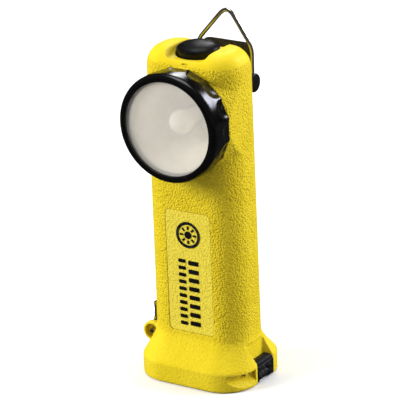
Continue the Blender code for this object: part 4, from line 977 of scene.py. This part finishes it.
def make_hinge_block():
    """Black block in the right pocket, with a rounded hood over an upright face."""
    inner, outer = GRIP_WIDTH / 2, FOOT_WIDTH / 2
    foot, peak = 0.6, side_of("hinge_block", HIGH, Z)
    face_top, hood, hood_rows = peak - 2.6, 2.1, 8
    outline = [(inner, foot), (outer - 0.4, foot), (outer, foot + 0.6)]
    outline += [(outer, face_top - 0.3), (outer - 0.5, face_top + 0.2)]
    for row in range(hood_rows + 1):
        angle = row / hood_rows * math.pi / 2
        back = (outer - inner - 2.0) * (1 - math.cos(angle))
        outline.append((outer - 0.6 - back, face_top + 0.5 + hood * math.sin(angle)))
    outline.append((inner, peak - 0.3))
    block = prism("tail_hinge_block", outline, 24, place(rx=90))
    sides = [(inner - 3, -12.0), (outer + 3, -3.4), (outer + 3, 10.9), (inner - 3, 6.6)]
    trim(block, prism("block_keep", sides, 60))
    knuckle_room = cuboid("knuckle_room", (12, 9, 9), place(HINGE_X, 0, 2.3))
    bore = cylinder("hinge_bore", HINGE_PIN_RADIUS + PIN_SLACK, 40, place(HINGE_X, 0, HINGE_Z, rx=90), 32)
    cut(block, knuckle_room, bore)
    round_edges(block, 0.45)
    piece(block, "matt", "light", "black_nylon", "hinge_block")


def make_tail_cap():
    """The plate in the foot's mouth, with a hinge arm, a tongue for the latch and grooves below for grip."""
    width, depth, top, middle, radius = 53.4, 39.4, 4.6, -0.3, 7.0
    sections = [(0.0, width - 1.4, depth - 1.4, radius - 0.7), (0.2, width - 0.6, depth - 0.6, radius - 0.3)]
    sections += [(0.7, width, depth, radius), (top - 0.4, width, depth, radius)]
    sections.append((top, width - 0.8, depth - 0.8, radius - 0.4))
    cap = loft("hinged_tail_cap", sections, 8, place(middle))
    join(
        cap,
        cuboid("arm", (6, 8.4, 4.2), place(HINGE_X - 3, 0, 2.3)),
        cylinder("knuckle", 2.6, 8.4, place(HINGE_X, 0, HINGE_Z, rx=90)),
        cuboid("tongue", (6, 9, 1.5), place(middle - width / 2 + 1, 0, 3.15)),
    )
    bore = cylinder("cap_bore", HINGE_PIN_RADIUS + PIN_SLACK, 40, place(HINGE_X, 0, HINGE_Z, rx=90), 32)
    ribs = [cuboid(f"rib_{k}", (34, 1.2, 1.0), place(middle, -12 + 4 * k, 0)) for k in range(7)]
    cut(cap, bore, *ribs)
    shade(cap)
    piece(cap, "matt", "tail_cap_unit", "black_nylon", "tail_cap")


def make_latch_lever():
    """Two steel prongs above the pin, a leg and a hook below. Points are (outwards, up) from the pin."""
    half, thick = 5.8, 1.1
    prong = [(0.6, 15.4), (0.3, 13.4), (0.1, 11.5), (0.0, 9.5)]
    prong += [(0.35, 7.6), (1.2, 5.2), (2.1, 3.0), (2.4, 1.5)]
    leg = [(2.4, -2), (2.6, -12), (2.6, -18.3), (2.4, -18.8), (1.9, -19.0), (-1.6, -19.0), (-1.6, -17.6)]
    leg_inside = [(1.5, -17.6), (1.5, -12), (1.3, -2.2)]
    prong_inside = [(out - thick, up) for out, up in reversed(prong)]
    outline = [(-out, up) for out, up in prong + leg + leg_inside + prong_inside]
    lever = prism("latch_press_lever", outline, 2 * half, LATCH @ place(rx=90), bevel=0.25, segments=2)
    join(lever, cylinder("latch_barrel", 2.4, 2 * half, LATCH @ place(rx=90)))
    window = cuboid("latch_window", (14, 5.6, 24), LATCH @ place(z=8.4))
    cut(lever, window, cylinder("latch_bore", LATCH_PIN_RADIUS + PIN_SLACK, 30, LATCH @ place(rx=90), 32))
    shade(lever)
    piece(lever, "spring_steel", "latch", "spring_steel", "latch_lever")


def make_latch_spring():
    """Rolled round the pin between the prongs, with one end standing up behind the lever."""
    arm = [(0.7, -1.8, 6.6), (0.9, -1.8, 5.0), (1.4, -1.8, 2.6)]
    turns = [(x, z, -y) for x, y, z in coil(2.1, -1.8, 1.8, 3.2)]
    spring = tube("latch_torsion_spring", arm + turns, 0.35, 10, LATCH)
    piece(spring, "spring_steel", "light", "spring_steel", "latch_spring")


def make_pins():
    for name, node, radius, length, matrix in (
        ("latch_pivot_pin", "latch_pin", LATCH_PIN_RADIUS, EAR_SPAN - 0.2, LATCH @ place(rx=90)),
        ("tail_hinge_pin", "hinge_pin", HINGE_PIN_RADIUS, 14.6, place(HINGE_X, 0.5, HINGE_Z, rx=90)),
        ("clip_pivot_pin", "clip_pin", PIN_RADIUS, 39.8, CLIP @ place(ry=90)),
    ):
        end = length / 2
        profile = [(0, end), (radius - 0.4, end), (radius - 0.1, end - 0.15), (radius, end - 0.5)]
        profile += [(r, -height) for r, height in reversed(profile)]
        pin = turned(name, profile, 32, matrix)
        shade(pin)
        piece(pin, "spring_steel", "light", "spring_steel", node)


# ---- floor, light, camera


def floor_finish():
    """Pale where the camera sees it. It bounces little light, and mirrors nearly black in the object."""
    f = Finish("pale_sweep")
    path = f.nodes.new("ShaderNodeLightPath")
    pale = f.mix(f.noise(400, 2), (0.93, 0.93, 0.93), (0.95, 0.95, 0.95))
    bounced = f.mix(path.outputs["Is Glossy Ray"], (0.30, 0.30, 0.30), (0.03, 0.03, 0.03))
    f.set("Base Color", f.mix(path.outputs["Is Camera Ray"], bounced, pale))
    f.set("Roughness", 0.9)
    f.set("Specular IOR Level", 0.1)
    return f.material


def make_floor():
    """A level floor that sweeps up into a wall far behind."""
    rows = [(-4000, -0.2), (1500, -0.2), (2200, 60), (2600, 300), (2800, 800), (2850, 4000)]
    half_width = 5000
    bm = bmesh.new()
    made = []
    for y, z in rows:
        made.append([bm.verts.new((x, y, z)) for x in (-half_width, half_width)])
    for a, b in zip(made, made[1:]):
        bm.faces.new((a[0], a[1], b[1], b[0]))
    floor = to_object("studio_sweep", bm, sharp=None)
    floor.data.materials.append(floor_finish())


def make_world():
    """Even white light all round, dimmer where the object mirrors it."""
    world = bpy.data.worlds.new("studio")
    world.use_nodes = True
    nodes, links = world.node_tree.nodes, world.node_tree.links
    path = nodes.new("ShaderNodeLightPath")
    dim = nodes.new("ShaderNodeMapRange")
    dim.inputs["To Min"].default_value = 0.35
    dim.inputs["To Max"].default_value = 0.09
    links.new(path.outputs["Is Glossy Ray"], dim.inputs["Value"])
    background = nodes["Background"]
    background.inputs["Color"].default_value = (1.0, 1.0, 1.0, 1.0)
    links.new(dim.outputs["Result"], background.inputs["Strength"])
    bpy.context.scene.world = world


def add_light(name, location, size, power, tint=(1.0, 1.0, 1.0), in_reflections=True):
    """A soft panel aimed at the middle of the grip. Places and sizes are in metres, and power in watts."""
    data = bpy.data.lights.new(name, "AREA")
    data.shape = "RECTANGLE"
    data.size, data.size_y = size
    data.energy = power
    data.color = tint
    light = bpy.data.objects.new(name, data)
    bpy.context.scene.collection.objects.link(light)
    light.location = location
    light.visible_glossy = in_reflections
    direction = Vector((0, 0, 0.1)) - Vector(location)
    light.rotation_euler = direction.to_track_quat("-Z", "Y").to_euler()


def make_lights():
    add_light("key", (-1.3, -1.2, 0.95), (0.7, 0.9), 42, in_reflections=False)
    add_light("side", (1.2, 0.75, 0.6), (0.6, 0.9), 19, in_reflections=False)
    add_light("rear_left", (-0.6, 1.3, 0.95), (0.35, 0.35), 3)
    add_light("rear", (0.72, 1.28, 0.82), (0.42, 0.5), 9, (0.86, 0.86, 1.0))
    add_light("top", (-0.15, 0.2, 1.7), (1.0, 1.0), 9.5)


def make_camera():
    """A long lens from the front right and a little above, rolled so that the object leans to the left."""
    azimuth, elevation, roll = math.radians(32.9), math.radians(21.0), math.radians(2.28)
    aim, distance = Vector((0, 0, 0.09)), 1.5  # metres
    level = math.cos(elevation)
    back = Vector((math.sin(azimuth) * level, -math.cos(azimuth) * level, math.sin(elevation)))
    right = Vector((math.cos(azimuth), math.sin(azimuth), 0))
    up = back.cross(right)
    rolled_right = right * math.cos(roll) - up * math.sin(roll)
    rolled_up = right * math.sin(roll) + up * math.cos(roll)
    data = bpy.data.cameras.new("camera")
    data.lens = 259.1
    data.sensor_width = 36
    data.shift_x, data.shift_y = -0.0115, 0.02575
    data.clip_end = 20
    camera = bpy.data.objects.new("camera", data)
    bpy.context.scene.collection.objects.link(camera)
    matrix = Matrix((rolled_right, rolled_up, back)).transposed().to_4x4()
    matrix.translation = aim + back * distance
    camera.matrix_world = matrix
    bpy.context.scene.camera = camera


paint_frame()
make_shell()
make_label_panel()
make_lamp_mark()
make_bar_columns()
make_cap()
make_lens()
make_reflector()
make_light_source()
make_button()
make_button_spring()
make_bracket()
make_bracket_screws()
make_clip_lever()
make_pin_end_caps()
make_clip_spring()
make_ring()
make_hinge_block()
make_tail_cap()
make_latch_lever()
make_latch_spring()
make_pins()
make_floor()
make_world()
make_lights()
make_camera()
bpy.context.scene.view_settings.view_transform = "Standard"
